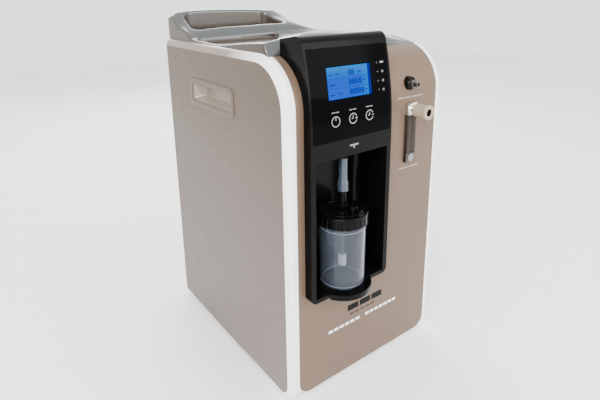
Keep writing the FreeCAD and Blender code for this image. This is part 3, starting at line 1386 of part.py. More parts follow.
def hose(label, route, radius, bore):
    """Air hose along a route of straight runs joined by tangent arcs."""
    points = [FreeCAD.Vector(*(value(place) for place in stop)) for stop in route]
    edges = []
    start = points[0]
    for before, corner, after in zip(points, points[1:], points[2:]):
        back = (before - corner).normalize()
        ahead = (after - corner).normalize()
        turn = math.pi - back.getAngle(ahead)
        shorter = min((before - corner).Length, (after - corner).Length)
        trim = min(0.45 * shorter, 4 * radius * math.tan(turn / 2))
        bend_radius = trim / math.tan(turn / 2)
        inward = (back + ahead).normalize()
        middle = corner + inward * (bend_radius / math.cos(turn / 2) - bend_radius)
        leave = corner + back * trim
        arrive = corner + ahead * trim
        edges.append(Part.LineSegment(start, leave).toShape())
        edges.append(Part.Arc(leave, middle, arrive).toShape())
        start = arrive
    edges.append(Part.LineSegment(start, points[-1]).toShape())
    path = Part.Wire(edges)
    first = points[1] - points[0]
    rings = [Part.Wire([Part.makeCircle(r, points[0], first)]) for r in (radius, bore)]
    tubes = [path.makePipeShell([ring], True, False) for ring in rings]
    feature = DOC.addObject("Part::Feature", label)
    feature.Shape = tubes[0].cut(tubes[1])
    feature.Label = label
    return feature


def product_hose():
    """Hose from the regulator forward to the lower end of the flowmeter."""
    x, y = bed_place(2)
    z = f"{above('sizes.bed_high - 26')} + 10"
    low = f"{above('sizes.meter_low')} - 7"
    end = f"{behind('sizes.meter_inside')} + 10"
    route = [(x, f"{y} - 26", z), (x, f"{y} - 70", z), ("sizes.meter_place + 20", f"{y} - 130", z),
             ("sizes.meter_place", f"{end} + 40", f"{low} + 30"),
             ("sizes.meter_place", f"{end} + 22", low), ("sizes.meter_place", end, low)]
    return hose("product_hose", route, 4, 2.5)


def build():
    """Makes every piece and returns the objects to write, one for each node."""
    side_panel("left_side_panel", -1)
    side_panel("right_side_panel", 1)
    grip_cups()
    front_trim_ring()
    front_panel()
    cover = top_cover()
    rear_panel()
    rear_screws()
    base_tray()
    rubber_feet()
    console_housing()
    console_face()
    lcd_module()
    for number, label in enumerate(("key_power", "key_timer_more", "key_timer_less")):
        key(label, number)
    indicator_lamps()
    control_board()
    humidifier_bay()
    shelf_lip()
    oxygen_port()
    link_tube()
    inlet_stem()
    humidifier_cap()
    outlet_barb()
    jar()
    jar_seal()
    dip_tube()
    bubble_diffuser()
    nebuliser_port()
    flowmeter_block()
    flowmeter_fittings()
    float_ball()
    valve_spindle()
    flow_knob()
    filter_door()
    hinge_pin()
    intake_filter()
    power_inlet()
    breaker_body()
    breaker_button()
    inner_frame()
    compressor_mounts()
    motor_housing()
    crankcases()
    cylinder_heads()
    crankshaft()
    piston("piston_left", -1)
    piston("piston_right", 1)
    sieve_beds()
    product_tank()
    valve_block()
    solenoid_valves()
    pressure_regulator()
    cooling_coil()
    fan_frame()
    rotor = fan_rotor()
    silencer()
    power_board()
    tube = product_hose()
    DOC.recompute()
    bodies = [o for o in DOC.Objects if o.TypeId == "PartDesign::Body" and o.Label != "FanHub"]
    return bodies + [cover, rotor, tube]


def check(nodes):
    """Stops the build if any object failed or any piece isn't a valid closed solid."""
    failed = [item for item in DOC.Objects if {"Invalid", "Error"} & set(item.State)]
    for item in failed:
        group = item.getParentGeoFeatureGroup()
        print(f"{item.Label} of {group.Label if group else 'the document'} failed: {item.State}")
    if failed:
        raise RuntimeError(f"{len(failed)} objects failed")
    faulty = [node.Label for node in nodes
              if node.Shape.isNull() or not node.Shape.isValid() or not node.Shape.Solids]
    if faulty:
        raise RuntimeError(f"no valid solid in {faulty}")


def write(nodes):
    """Writes one STEP file for each node."""
    os.makedirs("parts", exist_ok=True)
    for node in nodes:
        node.Shape.exportStep(os.path.join("parts", f"{node.Label}.step"))


NODES = build()
check(NODES)
write(NODES)
print(f"{len(NODES)} pieces written")
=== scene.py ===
import json
import math

import bmesh
import bpy
from mathutils import Matrix, Vector

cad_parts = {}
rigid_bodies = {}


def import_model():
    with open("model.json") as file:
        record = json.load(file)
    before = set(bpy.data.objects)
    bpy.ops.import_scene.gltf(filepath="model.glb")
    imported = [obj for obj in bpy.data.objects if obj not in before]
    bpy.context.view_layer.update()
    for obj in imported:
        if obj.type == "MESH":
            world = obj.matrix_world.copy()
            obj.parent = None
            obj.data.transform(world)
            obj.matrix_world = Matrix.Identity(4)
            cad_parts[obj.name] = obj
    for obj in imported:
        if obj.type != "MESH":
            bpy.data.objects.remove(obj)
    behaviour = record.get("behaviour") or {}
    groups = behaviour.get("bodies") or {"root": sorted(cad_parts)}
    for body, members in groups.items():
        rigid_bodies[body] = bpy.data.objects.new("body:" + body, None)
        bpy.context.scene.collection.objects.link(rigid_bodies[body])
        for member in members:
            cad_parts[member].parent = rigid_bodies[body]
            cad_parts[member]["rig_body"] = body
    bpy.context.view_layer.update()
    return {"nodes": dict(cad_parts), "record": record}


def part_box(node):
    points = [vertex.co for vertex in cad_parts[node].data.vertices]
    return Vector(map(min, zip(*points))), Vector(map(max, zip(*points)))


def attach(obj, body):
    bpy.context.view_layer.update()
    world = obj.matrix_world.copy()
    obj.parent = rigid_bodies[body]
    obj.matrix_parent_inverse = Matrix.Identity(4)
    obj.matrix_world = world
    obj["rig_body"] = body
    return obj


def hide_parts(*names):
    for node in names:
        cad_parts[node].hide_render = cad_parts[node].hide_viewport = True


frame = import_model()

# Home oxygen concentrator: the looks of its shell, console, humidifier and flowmeter.
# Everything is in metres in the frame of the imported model: X right, Y back, Z up.

MM = 0.001
WELD = 0.000002          # points closer than this are one
AXIS_GAP = 0.00002       # a turned form's ends stay this far off its axis
CORNER_STEPS = 8         # points along each rounded corner of an outline
UP = (0, 0, 1)
FRONTWARD = (0, -1, 0)


# ------------------------------------------------------------------ camera, light and floor

EYE = (-0.4821, -0.6489, 0.5951)
HEADING = 36.76          # degrees from +Y towards +X
LOOK_DOWN = 15.42        # degrees
ROLL = 0.64              # degrees


def add_camera():
    """The camera at the reference view."""
    data = bpy.data.cameras.new("view")
    data.sensor_width = 36
    data.lens = 29.0
    data.shift_x = -0.006
    data.shift_y = -0.119
    camera = bpy.data.objects.new("view", data)
    bpy.context.scene.collection.objects.link(camera)
    turn = (Matrix.Rotation(math.radians(-HEADING), 4, "Z")
            @ Matrix.Rotation(math.radians(90 - LOOK_DOWN), 4, "X")
            @ Matrix.Rotation(math.radians(-ROLL), 4, "Z"))
    camera.matrix_world = Matrix.Translation(EYE) @ turn
    bpy.context.scene.camera = camera


def add_area_light(name, place, target, width, power):
    """A soft square light aimed at a point."""
    data = bpy.data.lights.new(name, "AREA")
    data.size = width
    data.energy = power
    lamp = bpy.data.objects.new(name, data)
    bpy.context.scene.collection.objects.link(lamp)
    aim = (Vector(target) - Vector(place)).to_track_quat("-Z", "Y")
    lamp.matrix_world = Matrix.Translation(place) @ aim.to_matrix().to_4x4()


def add_stage():
    """Pale floor, soft lights and a bright even sky."""
    bpy.ops.mesh.primitive_plane_add(size=8)
    floor = bpy.context.object
    floor.name = "floor"
    paint, _, shader = blank("floor_paint")
    shader.inputs["Base Color"].default_value = (0.9, 0.9, 0.9, 1)
    shader.inputs["Roughness"].default_value = 0.75
    floor.data.materials.append(paint)
    world = bpy.data.worlds.new("sky")
    world.use_nodes = True
    sky = world.node_tree.nodes["Background"]
    sky.inputs["Color"].default_value = (1, 1, 1, 1)
    sky.inputs["Strength"].default_value = 2.1
    bpy.context.scene.world = world
    middle = (0, 0, 0.3)
    add_area_light("key_light", (-1.5, -1.3, 1.7), middle, 1.2, 80)
    add_area_light("front_light", (0.9, -2.0, 1.1), middle, 1.4, 34)
    add_area_light("back_light", (0.6, 1.8, 1.6), middle, 1.4, 50)


# ------------------------------------------------------------------ materials

def blank(name):
    """A new node material with its tree and its shader."""
    paint = bpy.data.materials.new(name)
    paint.use_nodes = True
    return paint, paint.node_tree, paint.node_tree.nodes["Principled BSDF"]


def spot(tree, stretch=(1, 1, 1)):
    """The place on the object, in metres, stretched along each axis."""
    place = tree.nodes.new("ShaderNodeTexCoord")
    scale = tree.nodes.new("ShaderNodeMapping")
    scale.inputs["Scale"].default_value = stretch
    tree.links.new(place.outputs["Object"], scale.inputs["Vector"])
    return scale.outputs["Vector"]


def cloud(tree, vector, scale, detail=4.0):
    """Soft noise with a given number of spots in a metre."""
    noise = tree.nodes.new("ShaderNodeTexNoise")
    noise.inputs["Scale"].default_value = scale
    noise.inputs["Detail"].default_value = detail
    tree.links.new(vector, noise.inputs["Vector"])
    return noise.outputs["Fac"]


def cells(tree, vector, scale):
    """Distance to the nearest cell centre, for grains and pores."""
    grain = tree.nodes.new("ShaderNodeTexVoronoi")
    grain.inputs["Scale"].default_value = scale
    tree.links.new(vector, grain.inputs["Vector"])
    return grain.outputs["Distance"]


def ranged(tree, amount, low, high, from_low=0.0, from_high=1.0):
    """A value moved from one range to another."""
    node = tree.nodes.new("ShaderNodeMapRange")
    for name, number in zip(("From Min", "From Max", "To Min", "To Max"),
                            (from_low, from_high, low, high)):
        node.inputs[name].default_value = number
    tree.links.new(amount, node.inputs["Value"])
    return node.outputs["Result"]


def blend_colours(tree, share, first, second):
    """A colour between two, which are colours or sockets."""
    node = tree.nodes.new("ShaderNodeMix")
    node.data_type = "RGBA"
    tree.links.new(share, node.inputs["Factor"])
    for socket, colour in zip((node.inputs[6], node.inputs[7]), (first, second)):
        if isinstance(colour, bpy.types.NodeSocket):
            tree.links.new(colour, socket)
        else:
            socket.default_value = (*colour, 1)
    return node.outputs[2]


def bumped(tree, shader, height, distance, strength, base=None):
    """Gives the shader a bump of a real height."""
    bump = tree.nodes.new("ShaderNodeBump")
    bump.inputs["Distance"].default_value = distance
    bump.inputs["Strength"].default_value = strength
    tree.links.new(height, bump.inputs["Height"])
    if base is not None:
        tree.links.new(base, bump.inputs["Normal"])
    tree.links.new(bump.outputs["Normal"], shader.inputs["Normal"])
    return bump.outputs["Normal"]


def shaded(colour, factor):
    """A colour made lighter or darker."""
    return tuple(min(1.0, c * factor) for c in colour)


def moulded(name, colour, rough, grain=1600, depth=0.00003, variety=0.05, coat=0.0, metal=0.0,
            flakes=0.0, shine=0.5):
    """Moulded or lacquered plastic: faint cloudiness, fine grain, dust and scuffs."""
    paint, tree, shader = blank(name)
    place = spot(tree)
    soft = cloud(tree, place, 7.0)
    tint = blend_colours(tree, soft, shaded(colour, 1 - variety), shaded(colour, 1 + variety))
    dust = ranged(tree, cloud(tree, place, 420.0, 2.0), 0.0, 0.12 + flakes, 0.52, 0.75)
    tint = blend_colours(tree, dust, tint, shaded(colour, 1.25 + flakes))
    tree.links.new(tint, shader.inputs["Base Color"])
    scuff = cloud(tree, spot(tree, (1, 1, 0.5)), 90.0, 6.0)
    tree.links.new(ranged(tree, scuff, rough * 0.85, rough * 1.2, 0.3, 0.7),
                   shader.inputs["Roughness"])
    fine = bumped(tree, shader, cloud(tree, place, grain, 2.0), depth, 0.6)
    bumped(tree, shader, cloud(tree, place, 14.0, 2.0), 0.0006, 0.08, fine)
    shader.inputs["Specular IOR Level"].default_value = shine
    shader.inputs["Coat Weight"].default_value = coat
    shader.inputs["Coat Roughness"].default_value = max(0.06, rough * 0.7)
    shader.inputs["Metallic"].default_value = metal
    return paint


def brushed(name, colour, rough, stretch=(1, 1, 40), variety=0.08):
    """Metal with fine lines along one way, and dull patches."""
    paint, tree, shader = blank(name)
    lines = cloud(tree, spot(tree, stretch), 60.0, 6.0)
    tint = blend_colours(tree, lines, shaded(colour, 1 - variety), shaded(colour, 1 + variety))
    tree.links.new(tint, shader.inputs["Base Color"])
    patches = cloud(tree, spot(tree), 40.0)
    tree.links.new(ranged(tree, patches, rough - 0.06, rough + 0.1, 0.3, 0.7),
                   shader.inputs["Roughness"])
    bumped(tree, shader, lines, 0.00002, 0.7)
    shader.inputs["Metallic"].default_value = 1.0
    return paint


def clear(name, colour, rough, passes, index=1.49, ripple=0.0002):
    """Clear or milky plastic with flow lines and fine scratches."""
    paint, tree, shader = blank(name)
    flow = cloud(tree, spot(tree, (1, 1, 0.2)), 90.0)
    tint = blend_colours(tree, flow, shaded(colour, 0.94), shaded(colour, 1.04))
    tree.links.new(tint, shader.inputs["Base Color"])
    scratch = cloud(tree, spot(tree), 700.0, 3.0)
    tree.links.new(ranged(tree, scratch, rough, rough + 0.02, 0.35, 0.7),
                   shader.inputs["Roughness"])
    bumped(tree, shader, flow, ripple, 0.25)
    shader.inputs["Transmission Weight"].default_value = passes
    shader.inputs["IOR"].default_value = index
    return paint


def porous(name, colour, scale, depth, rough=0.9):
    """Foam, rubber or sintered grains: pores darken and dent the surface."""
    paint, tree, shader = blank(name)
    pores = cells(tree, spot(tree), scale)
    tint = blend_colours(tree, pores, shaded(colour, 0.55), shaded(colour, 1.25))
    tree.links.new(tint, shader.inputs["Base Color"])
    tree.links.new(ranged(tree, pores, rough - 0.12, rough), shader.inputs["Roughness"])
    bumped(tree, shader, pores, depth, 0.8)
    return paint


def screen_paint():
    """Backlit blue display: lighter along its top and right edges, darker in the middle."""
    paint, tree, shader = blank("screen_light")
    low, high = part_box("lcd_module")
    place = tree.nodes.new("ShaderNodeSeparateXYZ")
    tree.links.new(spot(tree), place.inputs["Vector"])
    right = ranged(tree, place.outputs["X"], 0, 1, low.x + 0.055, high.x - 0.002)
    top = ranged(tree, place.outputs["Z"], 0, 1, low.z + 0.026, high.z)
    blue = blend_colours(tree, right, (0.0, 0.14, 1.0), (0.0, 0.34, 1.0))
    blue = blend_colours(tree, top, blue, (0.0, 0.38, 1.0))
    mottle = cloud(tree, spot(tree), 120.0)
    blue = blend_colours(tree, ranged(tree, mottle, 0.0, 0.35), blue, (0.0, 0.05, 0.8))
    shader.inputs["Base Color"].default_value = (0.0, 0.003, 0.02, 1)
    shader.inputs["Specular IOR Level"].default_value = 0.02
    tree.links.new(blue, shader.inputs["Emission Color"])
    shader.inputs["Emission Strength"].default_value = 0.9
    tree.links.new(ranged(tree, mottle, 0.12, 0.2), shader.inputs["Roughness"])
    return paint


def rim_highlight_paint():
    """The side panels' rim: champagne, with a painted white highlight round the front edge that
    fades out towards the back.
    """
    paint, tree, shader = blank("rim")
    place = spot(tree)
    parts = tree.nodes.new("ShaderNodeSeparateXYZ")
    tree.links.new(place, parts.inputs["Vector"])
    # painted highlight: the rim is white at the front and fades to champagne towards the back
    back = ranged(tree, parts.outputs["Y"], 0, 1, SHELL_LOW.y + 0.045, SHELL_LOW.y + 0.15)
    soft = cloud(tree, place, 9.0)
    painted_highlight = blend_colours(tree, soft, (0.88, 0.86, 0.84), (0.94, 0.92, 0.90))
    warm = blend_colours(tree, soft, (0.165, 0.125, 0.098), (0.185, 0.142, 0.112))
    tree.links.new(blend_colours(tree, back, painted_highlight, warm), shader.inputs["Base Color"])
    tree.links.new(ranged(tree, cloud(tree, place, 90.0, 6.0), 0.2, 0.3),
                   shader.inputs["Roughness"])
    bumped(tree, shader, cloud(tree, place, 1600, 2.0), 0.00003, 0.6)
    return paint


def field_paint():
    """The side panels' field: warm grey, with painted light and shade: darker at the top, lighter
    and cooler low down at the front.
    """
    paint, tree, shader = blank("field")
    place = spot(tree)
    parts = tree.nodes.new("ShaderNodeSeparateXYZ")
    tree.links.new(place, parts.inputs["Vector"])
    # painted light and shade: the field is lighter low down and towards the front, darker at the
    # top and back
    painted_light_low_down = ranged(tree, parts.outputs["Z"], 1, 0, SHELL_LOW.z + 0.02, SHELL_HIGH.z - 0.06)
    ahead = ranged(tree, parts.outputs["Y"], 1, 0.35, SHELL_LOW.y, SHELL_HIGH.y)
    share = tree.nodes.new("ShaderNodeMath")
    share.operation = "MULTIPLY"
    tree.links.new(painted_light_low_down, share.inputs[0])
    tree.links.new(ahead, share.inputs[1])
    tint = blend_colours(tree, share.outputs["Value"], (0.078, 0.056, 0.039), (0.135, 0.106, 0.105))
    speck = ranged(tree, cloud(tree, place, 420.0, 2.0), 0.0, 0.15, 0.52, 0.75)
    tint = blend_colours(tree, speck, tint, (0.20, 0.17, 0.15))
    tree.links.new(tint, shader.inputs["Base Color"])
    tree.links.new(ranged(tree, cloud(tree, place, 90.0, 6.0), 0.3, 0.42, 0.3, 0.7),
                   shader.inputs["Roughness"])
    bumped(tree, shader, cloud(tree, place, 1600, 2.0), 0.00003, 0.6)
    shader.inputs["Specular IOR Level"].default_value = 0.25
    return paint


def make_paints():
    """One paint for each finish; most carry the name of the record's material slot."""
    return {
        "champagne": moulded("champagne", (0.118, 0.077, 0.052), 0.36, flakes=0.06, shine=0.25),
        "side_champagne": moulded("side_champagne", (0.094, 0.066, 0.049), 0.36, flakes=0.04,
                                  shine=0.25),
        "white": moulded("white", (0.92, 0.90, 0.88), 0.25, variety=0.02, coat=0.3),
        # rim: champagne with a painted white highlight round the front edge
        "rim": rim_highlight_paint(),
        # field: the side panels' flat field, with painted light and shade across it
        "field": field_paint(),
        "grip_rim": moulded("grip_rim", (0.22, 0.185, 0.15), 0.30, variety=0.03),
        "grey_cover": moulded("grey_cover", (0.085, 0.09, 0.09), 0.13, depth=0.000008, variety=0.04,
                              metal=0.45, shine=0.3),
        # well: dark brown, painted shade for the inside of the cover's wells and its left outer
        # wall
        "well": moulded("well", (0.040, 0.029, 0.021), 0.22, variety=0.06, shine=0.4),
        "black": moulded("black", (0.002, 0.002, 0.002), 0.17, depth=0.00001, shine=0.07),
        "black_gloss": moulded("black_gloss", (0.001, 0.001, 0.0015), 0.09, depth=0.000004,
                               shine=0.02),
        "dark_grey": moulded("dark_grey", (0.035, 0.035, 0.038), 0.5, 900, 0.00012),
        "cream": moulded("cream", (0.29, 0.235, 0.165), 0.33, variety=0.04),
        "frost": moulded("frost", (0.34, 0.37, 0.42), 0.3, variety=0.05),
        "mark": moulded("mark", (0.20, 0.20, 0.20), 0.5, variety=0.08, shine=0.1),
        "pale_mark": moulded("pale_mark", (0.36, 0.30, 0.25), 0.5, variety=0.06, shine=0.1),
        "segment": moulded("segment", (0.0, 0.004, 0.10), 0.5, variety=0.1, shine=0.02),
        "display": screen_paint(),
        "board": moulded("board", (0.015, 0.10, 0.04), 0.35, 500, 0.0001, 0.15),
        "chrome": brushed("chrome", (0.78, 0.77, 0.75), 0.14, (8, 8, 1)),
        "gunmetal": brushed("gunmetal", (0.10, 0.095, 0.09), 0.26, (8, 8, 1)),
        "steel": brushed("steel", (0.50, 0.50, 0.51), 0.30),
        "zinc_sheet": brushed("zinc_sheet", (0.52, 0.53, 0.55), 0.42, (1, 1, 6), 0.14),
        "aluminium": brushed("aluminium", (0.62, 0.63, 0.65), 0.40, (1, 12, 1)),
        "copper": brushed("copper", (0.72, 0.36, 0.22), 0.30, (6, 6, 1)),
        "clear": clear("clear", (0.86, 0.90, 0.96), 0.04, 0.97),
        "smoky": clear("smoky", (0.22, 0.17, 0.135), 0.02, 0.9, 1.2, 0.00002),
        "milky": clear("milky", (0.62, 0.68, 0.78), 0.02, 0.97, 1.25, 0.00002),
        "clear_blue": clear("clear_blue", (0.11, 0.15, 0.21), 0.12, 0.72),
        "rubber": porous("rubber", (0.03, 0.03, 0.03), 2200, 0.00008, 0.75),
        "foam": porous("foam", (0.05, 0.05, 0.055), 900, 0.0008, 0.95),
        "porous": porous("porous", (0.62, 0.58, 0.50), 1800, 0.0002),
    }


# ------------------------------------------------------------------ mesh tools

def piece(name, mesh, body, slot, *paints, stands_for=()):
    """Links a mesh as a piece that rides on a body and has paints; its slot argument is not used.
    """
    made = bpy.data.objects.new(name, mesh)
    bpy.context.scene.collection.objects.link(made)
    for paint in paints:
        mesh.materials.append(PAINTS[paint])
    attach(made, body)
    if stands_for:
        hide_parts(*stands_for)
    return made


def finish_mesh(bm, name, smooth_angle=35.0, outward=None):
    """Turns a bmesh into a mesh, smooth but for its sharp edges; outward is the way that an
    open sheet's largest face looks."""
    bmesh.ops.recalc_face_normals(bm, faces=bm.faces)
    if outward is not None:
        largest = max(bm.faces, key=lambda face: face.calc_area())
        if largest.normal.dot(Vector(outward)) < 0:
            bmesh.ops.reverse_faces(bm, faces=bm.faces)
    mesh = bpy.data.meshes.new(name)
    bm.to_mesh(mesh)
    bm.free()
    mesh.shade_smooth()
    mesh.set_sharp_from_angle(angle=math.radians(smooth_angle))
    return mesh


def baked(made, smooth_angle=50.0):
    """Applies the piece's modifiers to its mesh and finds its sharp edges again."""
    graph = bpy.context.evaluated_depsgraph_get()
    mesh = bpy.data.meshes.new_from_object(made.evaluated_get(graph))
    made.modifiers.clear()
    made.data = mesh
    mesh.shade_smooth()
    mesh.set_sharp_from_angle(angle=math.radians(smooth_angle))


def add_wall(made, thick):
    """Gives an open sheet a wall behind its outer face."""
    wall = made.modifiers.new("wall", "SOLIDIFY")
    wall.thickness = thick
    wall.offset = -1


def add_bevel(made, width, segments):
    """Rounds a piece's edges that turn by more than 30 degrees, with a real radius."""
    bevel = made.modifiers.new("edges", "BEVEL")
    bevel.width = width
    bevel.segments = segments
    bevel.limit_method = "ANGLE"
    bevel.angle_limit = math.radians(30)
    bevel.harden_normals = False
    flat = made.modifiers.new("shading", "WEIGHTED_NORMAL")
    flat.keep_sharp = False
    flat.weight = 80


def node_copy(node):
    """A welded bmesh of a CAD node whose flat faces are whole again."""
    bm = bmesh.new()
    bm.from_mesh(frame["nodes"][node].data)
    bmesh.ops.remove_doubles(bm, verts=bm.verts, dist=WELD)
    bmesh.ops.dissolve_limit(bm, angle_limit=math.radians(0.5), verts=bm.verts, edges=bm.edges)
    return bm


def body_of(node):
    """The CAD body that a node belongs to."""
    return frame["nodes"][node]["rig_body"]


def refined(node, paint, width, segments=3, slot=None, name=None, paint_of=None, extra=()):
    """A CAD node with rounded edges; paint_of picks the paint of each face by number."""
    bm = node_copy(node)
    if paint_of:
        for face in bm.faces:
            face.material_index = paint_of(face)
    mesh = finish_mesh(bm, node)
    made = piece(name or f"{node}_skin", mesh, body_of(node), slot or paint, paint, *extra,
                 stands_for=(node,))
    add_bevel(made, width, segments)


def ring_faces(bm, rings, close_first=False, close_last=False):
    """Joins rings of points, each with as many points as the next, and may cap the ends."""
    loops = [[bm.verts.new(point) for point in ring] for ring in rings]
    for low, high in zip(loops, loops[1:]):
        for i in range(len(low)):
            j = (i + 1) % len(low)
            bm.faces.new((low[i], low[j], high[j], high[i]))
    if close_first:
        bm.faces.new(loops[0])
    if close_last:
        bm.faces.new(loops[-1][::-1])
    return loops


def turned(bm, base, axis, profile, steps, ends=(True, True)):
    """A turned form: the profile is pairs of (radius, distance along the axis)."""
    axis = Vector(axis).normalized()
    side = axis.orthogonal().normalized()
    other = axis.cross(side)
    rings = []
    for radius, along in profile:
        centre = Vector(base) + axis * along
        rings.append([centre + radius * (side * math.cos(a) + other * math.sin(a))
                      for a in (2 * math.pi * k / steps for k in range(steps))])
    ring_faces(bm, rings, *ends)


def off_axis(profile):
    """A turned profile with its ends kept off the axis, so that each stays a ring."""
    return [(max(radius, AXIS_GAP), along) for radius, along in profile]


def rounded_corner(start, middle, end, radius, steps):
    """Points that round a corner of a profile."""
    start, middle, end = Vector(start), Vector(middle), Vector(end)
    back = (start - middle).normalized() * radius
    ahead = (end - middle).normalized() * radius
    first, last = middle + back, middle + ahead
    points = []
    for k in range(steps + 1):
        t = k / steps
        points.append(tuple((1 - t) ** 2 * first + 2 * t * (1 - t) * middle + t ** 2 * last))
    return points


def soft_profile(corners, radius, steps=5):
    """A turned profile whose inner corners are rounded by up to a radius."""
    points = [corners[0]]
    for before, corner, after in zip(corners, corners[1:], corners[2:]):
        room = min((Vector(before) - Vector(corner)).length,
                   (Vector(after) - Vector(corner)).length) * 0.45
        points += rounded_corner(before, corner, after, min(radius, room), steps)
    return points + [corners[-1]]


def round_rectangle(half_wide, half_tall, radius):
    """Points of a rounded rectangle about its middle."""
    points = []
    for quarter, (across, up) in enumerate(((1, 1), (-1, 1), (-1, -1), (1, -1))):
        centre = (across * (half_wide - radius), up * (half_tall - radius))
        for k in range(CORNER_STEPS + 1):
            angle = math.radians(90 * quarter + 90 * k / CORNER_STEPS)
            points.append((centre[0] + radius * math.cos(angle),
                           centre[1] + radius * math.sin(angle)))
    return points


# ------------------------------------------------------------------ shell

SHELL_LOW, SHELL_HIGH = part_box("left_side_panel")
SIDE_FACE = -SHELL_LOW.x
BROW, TOE, HEEL = 0.072, 0.030, 0.010    # corner radii: top front, bottom front, both at the back
RIM_WIDTH, RIM_BULGE = 0.0102, 1.45      # the side panels' rim; 1 is a chamfer, 2 a quarter circle


def panel_outline(inset):
    """A side panel's outline in Y and Z, drawn in by an inset, with its four rounded corners."""
    points = []
    y = (SHELL_LOW.y + inset, SHELL_HIGH.y - inset)
    z = (SHELL_LOW.z + inset, SHELL_HIGH.z - inset)
    corners = ((y[0], z[1], BROW, 90, 28), (y[0], z[0], TOE, 180, 14),
               (y[1], z[0], HEEL, 270, 8), (y[1], z[1], HEEL, 0, 8))
    for place_y, place_z, full, start, steps in corners:
        radius = max(full - inset, 0.0008)
        side = -1 if place_y == y[1] else 1
        rise = -1 if place_z == z[1] else 1
        centre = (place_y + side * radius, place_z + rise * radius)
        for k in range(steps + 1):
            angle = math.radians(start + 90 * k / steps)
            points.append((centre[0] + radius * math.cos(angle),
                           centre[1] + radius * math.sin(angle)))
    return points


def side_panel(node, side):
    """Moulded side: a rounded rim with a painted white highlight at its front, round a champagne
    field with painted light and shade, and the grip's opening.
    """
    low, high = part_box(node)
    face = max(abs(low.x), abs(high.x))
    depth = high.x - low.x - 0.0006
    rings = [(0.0, -(high.x - low.x)), (0.0, -depth)]
    for k in range(1, 13):
        angle = math.radians(90 * k / 12)
        rings.append((RIM_WIDTH * (1 - math.cos(angle) ** (2 / RIM_BULGE)),
                      -depth * (1 - math.sin(angle) ** (2 / RIM_BULGE))))
    rings += [(RIM_WIDTH + 0.0006, -0.0004), (RIM_WIDTH + 0.0016, -0.0004)]
    bm = bmesh.new()
    loops = ring_faces(bm, [[Vector((side * (face + x), y, z)) for y, z in panel_outline(inset)]
                            for inset, x in rings])
    grip_low, grip_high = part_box("grip_cups")
    middle = ((grip_low.y + grip_high.y) / 2, (grip_low.z + grip_high.z) / 2)
    wide, tall = (grip_high.y - grip_low.y) / 2 - 0.005, (grip_high.z - grip_low.z) / 2 - 0.005
    flat_x = side * (face + rings[-1][1])
    hole = [Vector((flat_x, middle[0] + u, middle[1] + v))
            for u, v in round_rectangle(wide, tall, 0.006)]
    inner = [bm.verts.new(p) for p in hole]
    edges = [bm.edges.new((inner[i], inner[(i + 1) % len(inner)])) for i in range(len(inner))]
    last = loops[-1]
    edges += [bm.edges.get((last[i], last[(i + 1) % len(last)])) for i in range(len(last))]
    filled = bmesh.ops.triangle_fill(bm, edges=edges, use_beauty=True)
    for item in filled["geom"]:
        if isinstance(item, bmesh.types.BMFace):
            item.material_index = 1
    border = {*loops[-2], *loops[-1]}
    for strip in bm.faces:
        if all(vert in border for vert in strip.verts):
            strip.material_index = 1
    mesh = finish_mesh(bm, node, 50, (side, 0, 0))
    # the rim paint carries a painted highlight, the field paint painted light and shade
    made = piece(f"{node}_shell", mesh, "case", "side_champagne", "rim", "field",
                 stands_for=(node,))
    add_wall(made, 0.002)
    baked(made)


def grip(name, side):
    """Hand grip: a soft flange on the panel and a cup with sloping walls."""
    low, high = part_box("grip_cups")
    middle = ((low.y + high.y) / 2, (low.z + high.z) / 2)
    wide, tall = (high.y - low.y) / 2, (high.z - low.z) / 2
    proud, deep = high.x - SIDE_FACE, 0.021
    rings = [(0.0, wide, tall, 0.011), (proud * 0.7, wide - 0.0003, tall - 0.0003, 0.011),
             (proud, wide - 0.0012, tall - 0.0012, 0.010),
             (proud, wide - 0.0070, tall - 0.0068, 0.0075),
             (proud * 0.6, wide - 0.0085, tall - 0.0082, 0.0070),
             (-0.001, wide - 0.0095, tall - 0.0092, 0.0065),
             (-deep + 0.005, wide - 0.0150, tall - 0.0115, 0.0060),
             (-deep + 0.0012, wide - 0.0175, tall - 0.0130, 0.0050),
             (-deep, wide - 0.0210, tall - 0.0160, 0.0040)]
    bm = bmesh.new()
    ring_faces(bm, [[Vector((side * (SIDE_FACE + x), middle[0] + u, middle[1] + v))
                     for u, v in round_rectangle(w, t, r)] for x, w, t, r in rings],
               close_last=True)
    for sheet in bm.faces:
        sheet.material_index = int(abs(sheet.calc_center_median().x) < SIDE_FACE - 0.0004)
    mesh = finish_mesh(bm, name, 60, (side, 0, 0))
    made = piece(name, mesh, "case", "side_champagne", "side_champagne", "grip_rim")
    add_wall(made, 0.0018)
    baked(made, 65)
    return made


def deck_height(x, depth):
    """Height of the top cover's deck above the side panels' top, by place, in mm."""
    places = (-143.2, -128, -60, 64, 143.2)
    depths = (50.3, 64.3, 110, 206, 284, 296, 342, 367, 382)
    rises = ((-5, 13, 10, 2, 5, 12, 26, 40, 37), (2, 16, 12, 3, 5, 14, 35, 48, 44),
             (14, 22, 17, 5, 6, 18, 38, 50, 46),
             (1, 13, 13, 8, 8, 20, 34, 46, 40), (-6, 0, 7, 7, 7, 7, 9, 11, 6))
    return curve_at([curve_at(row, depths, depth) for row in rises], places, x)


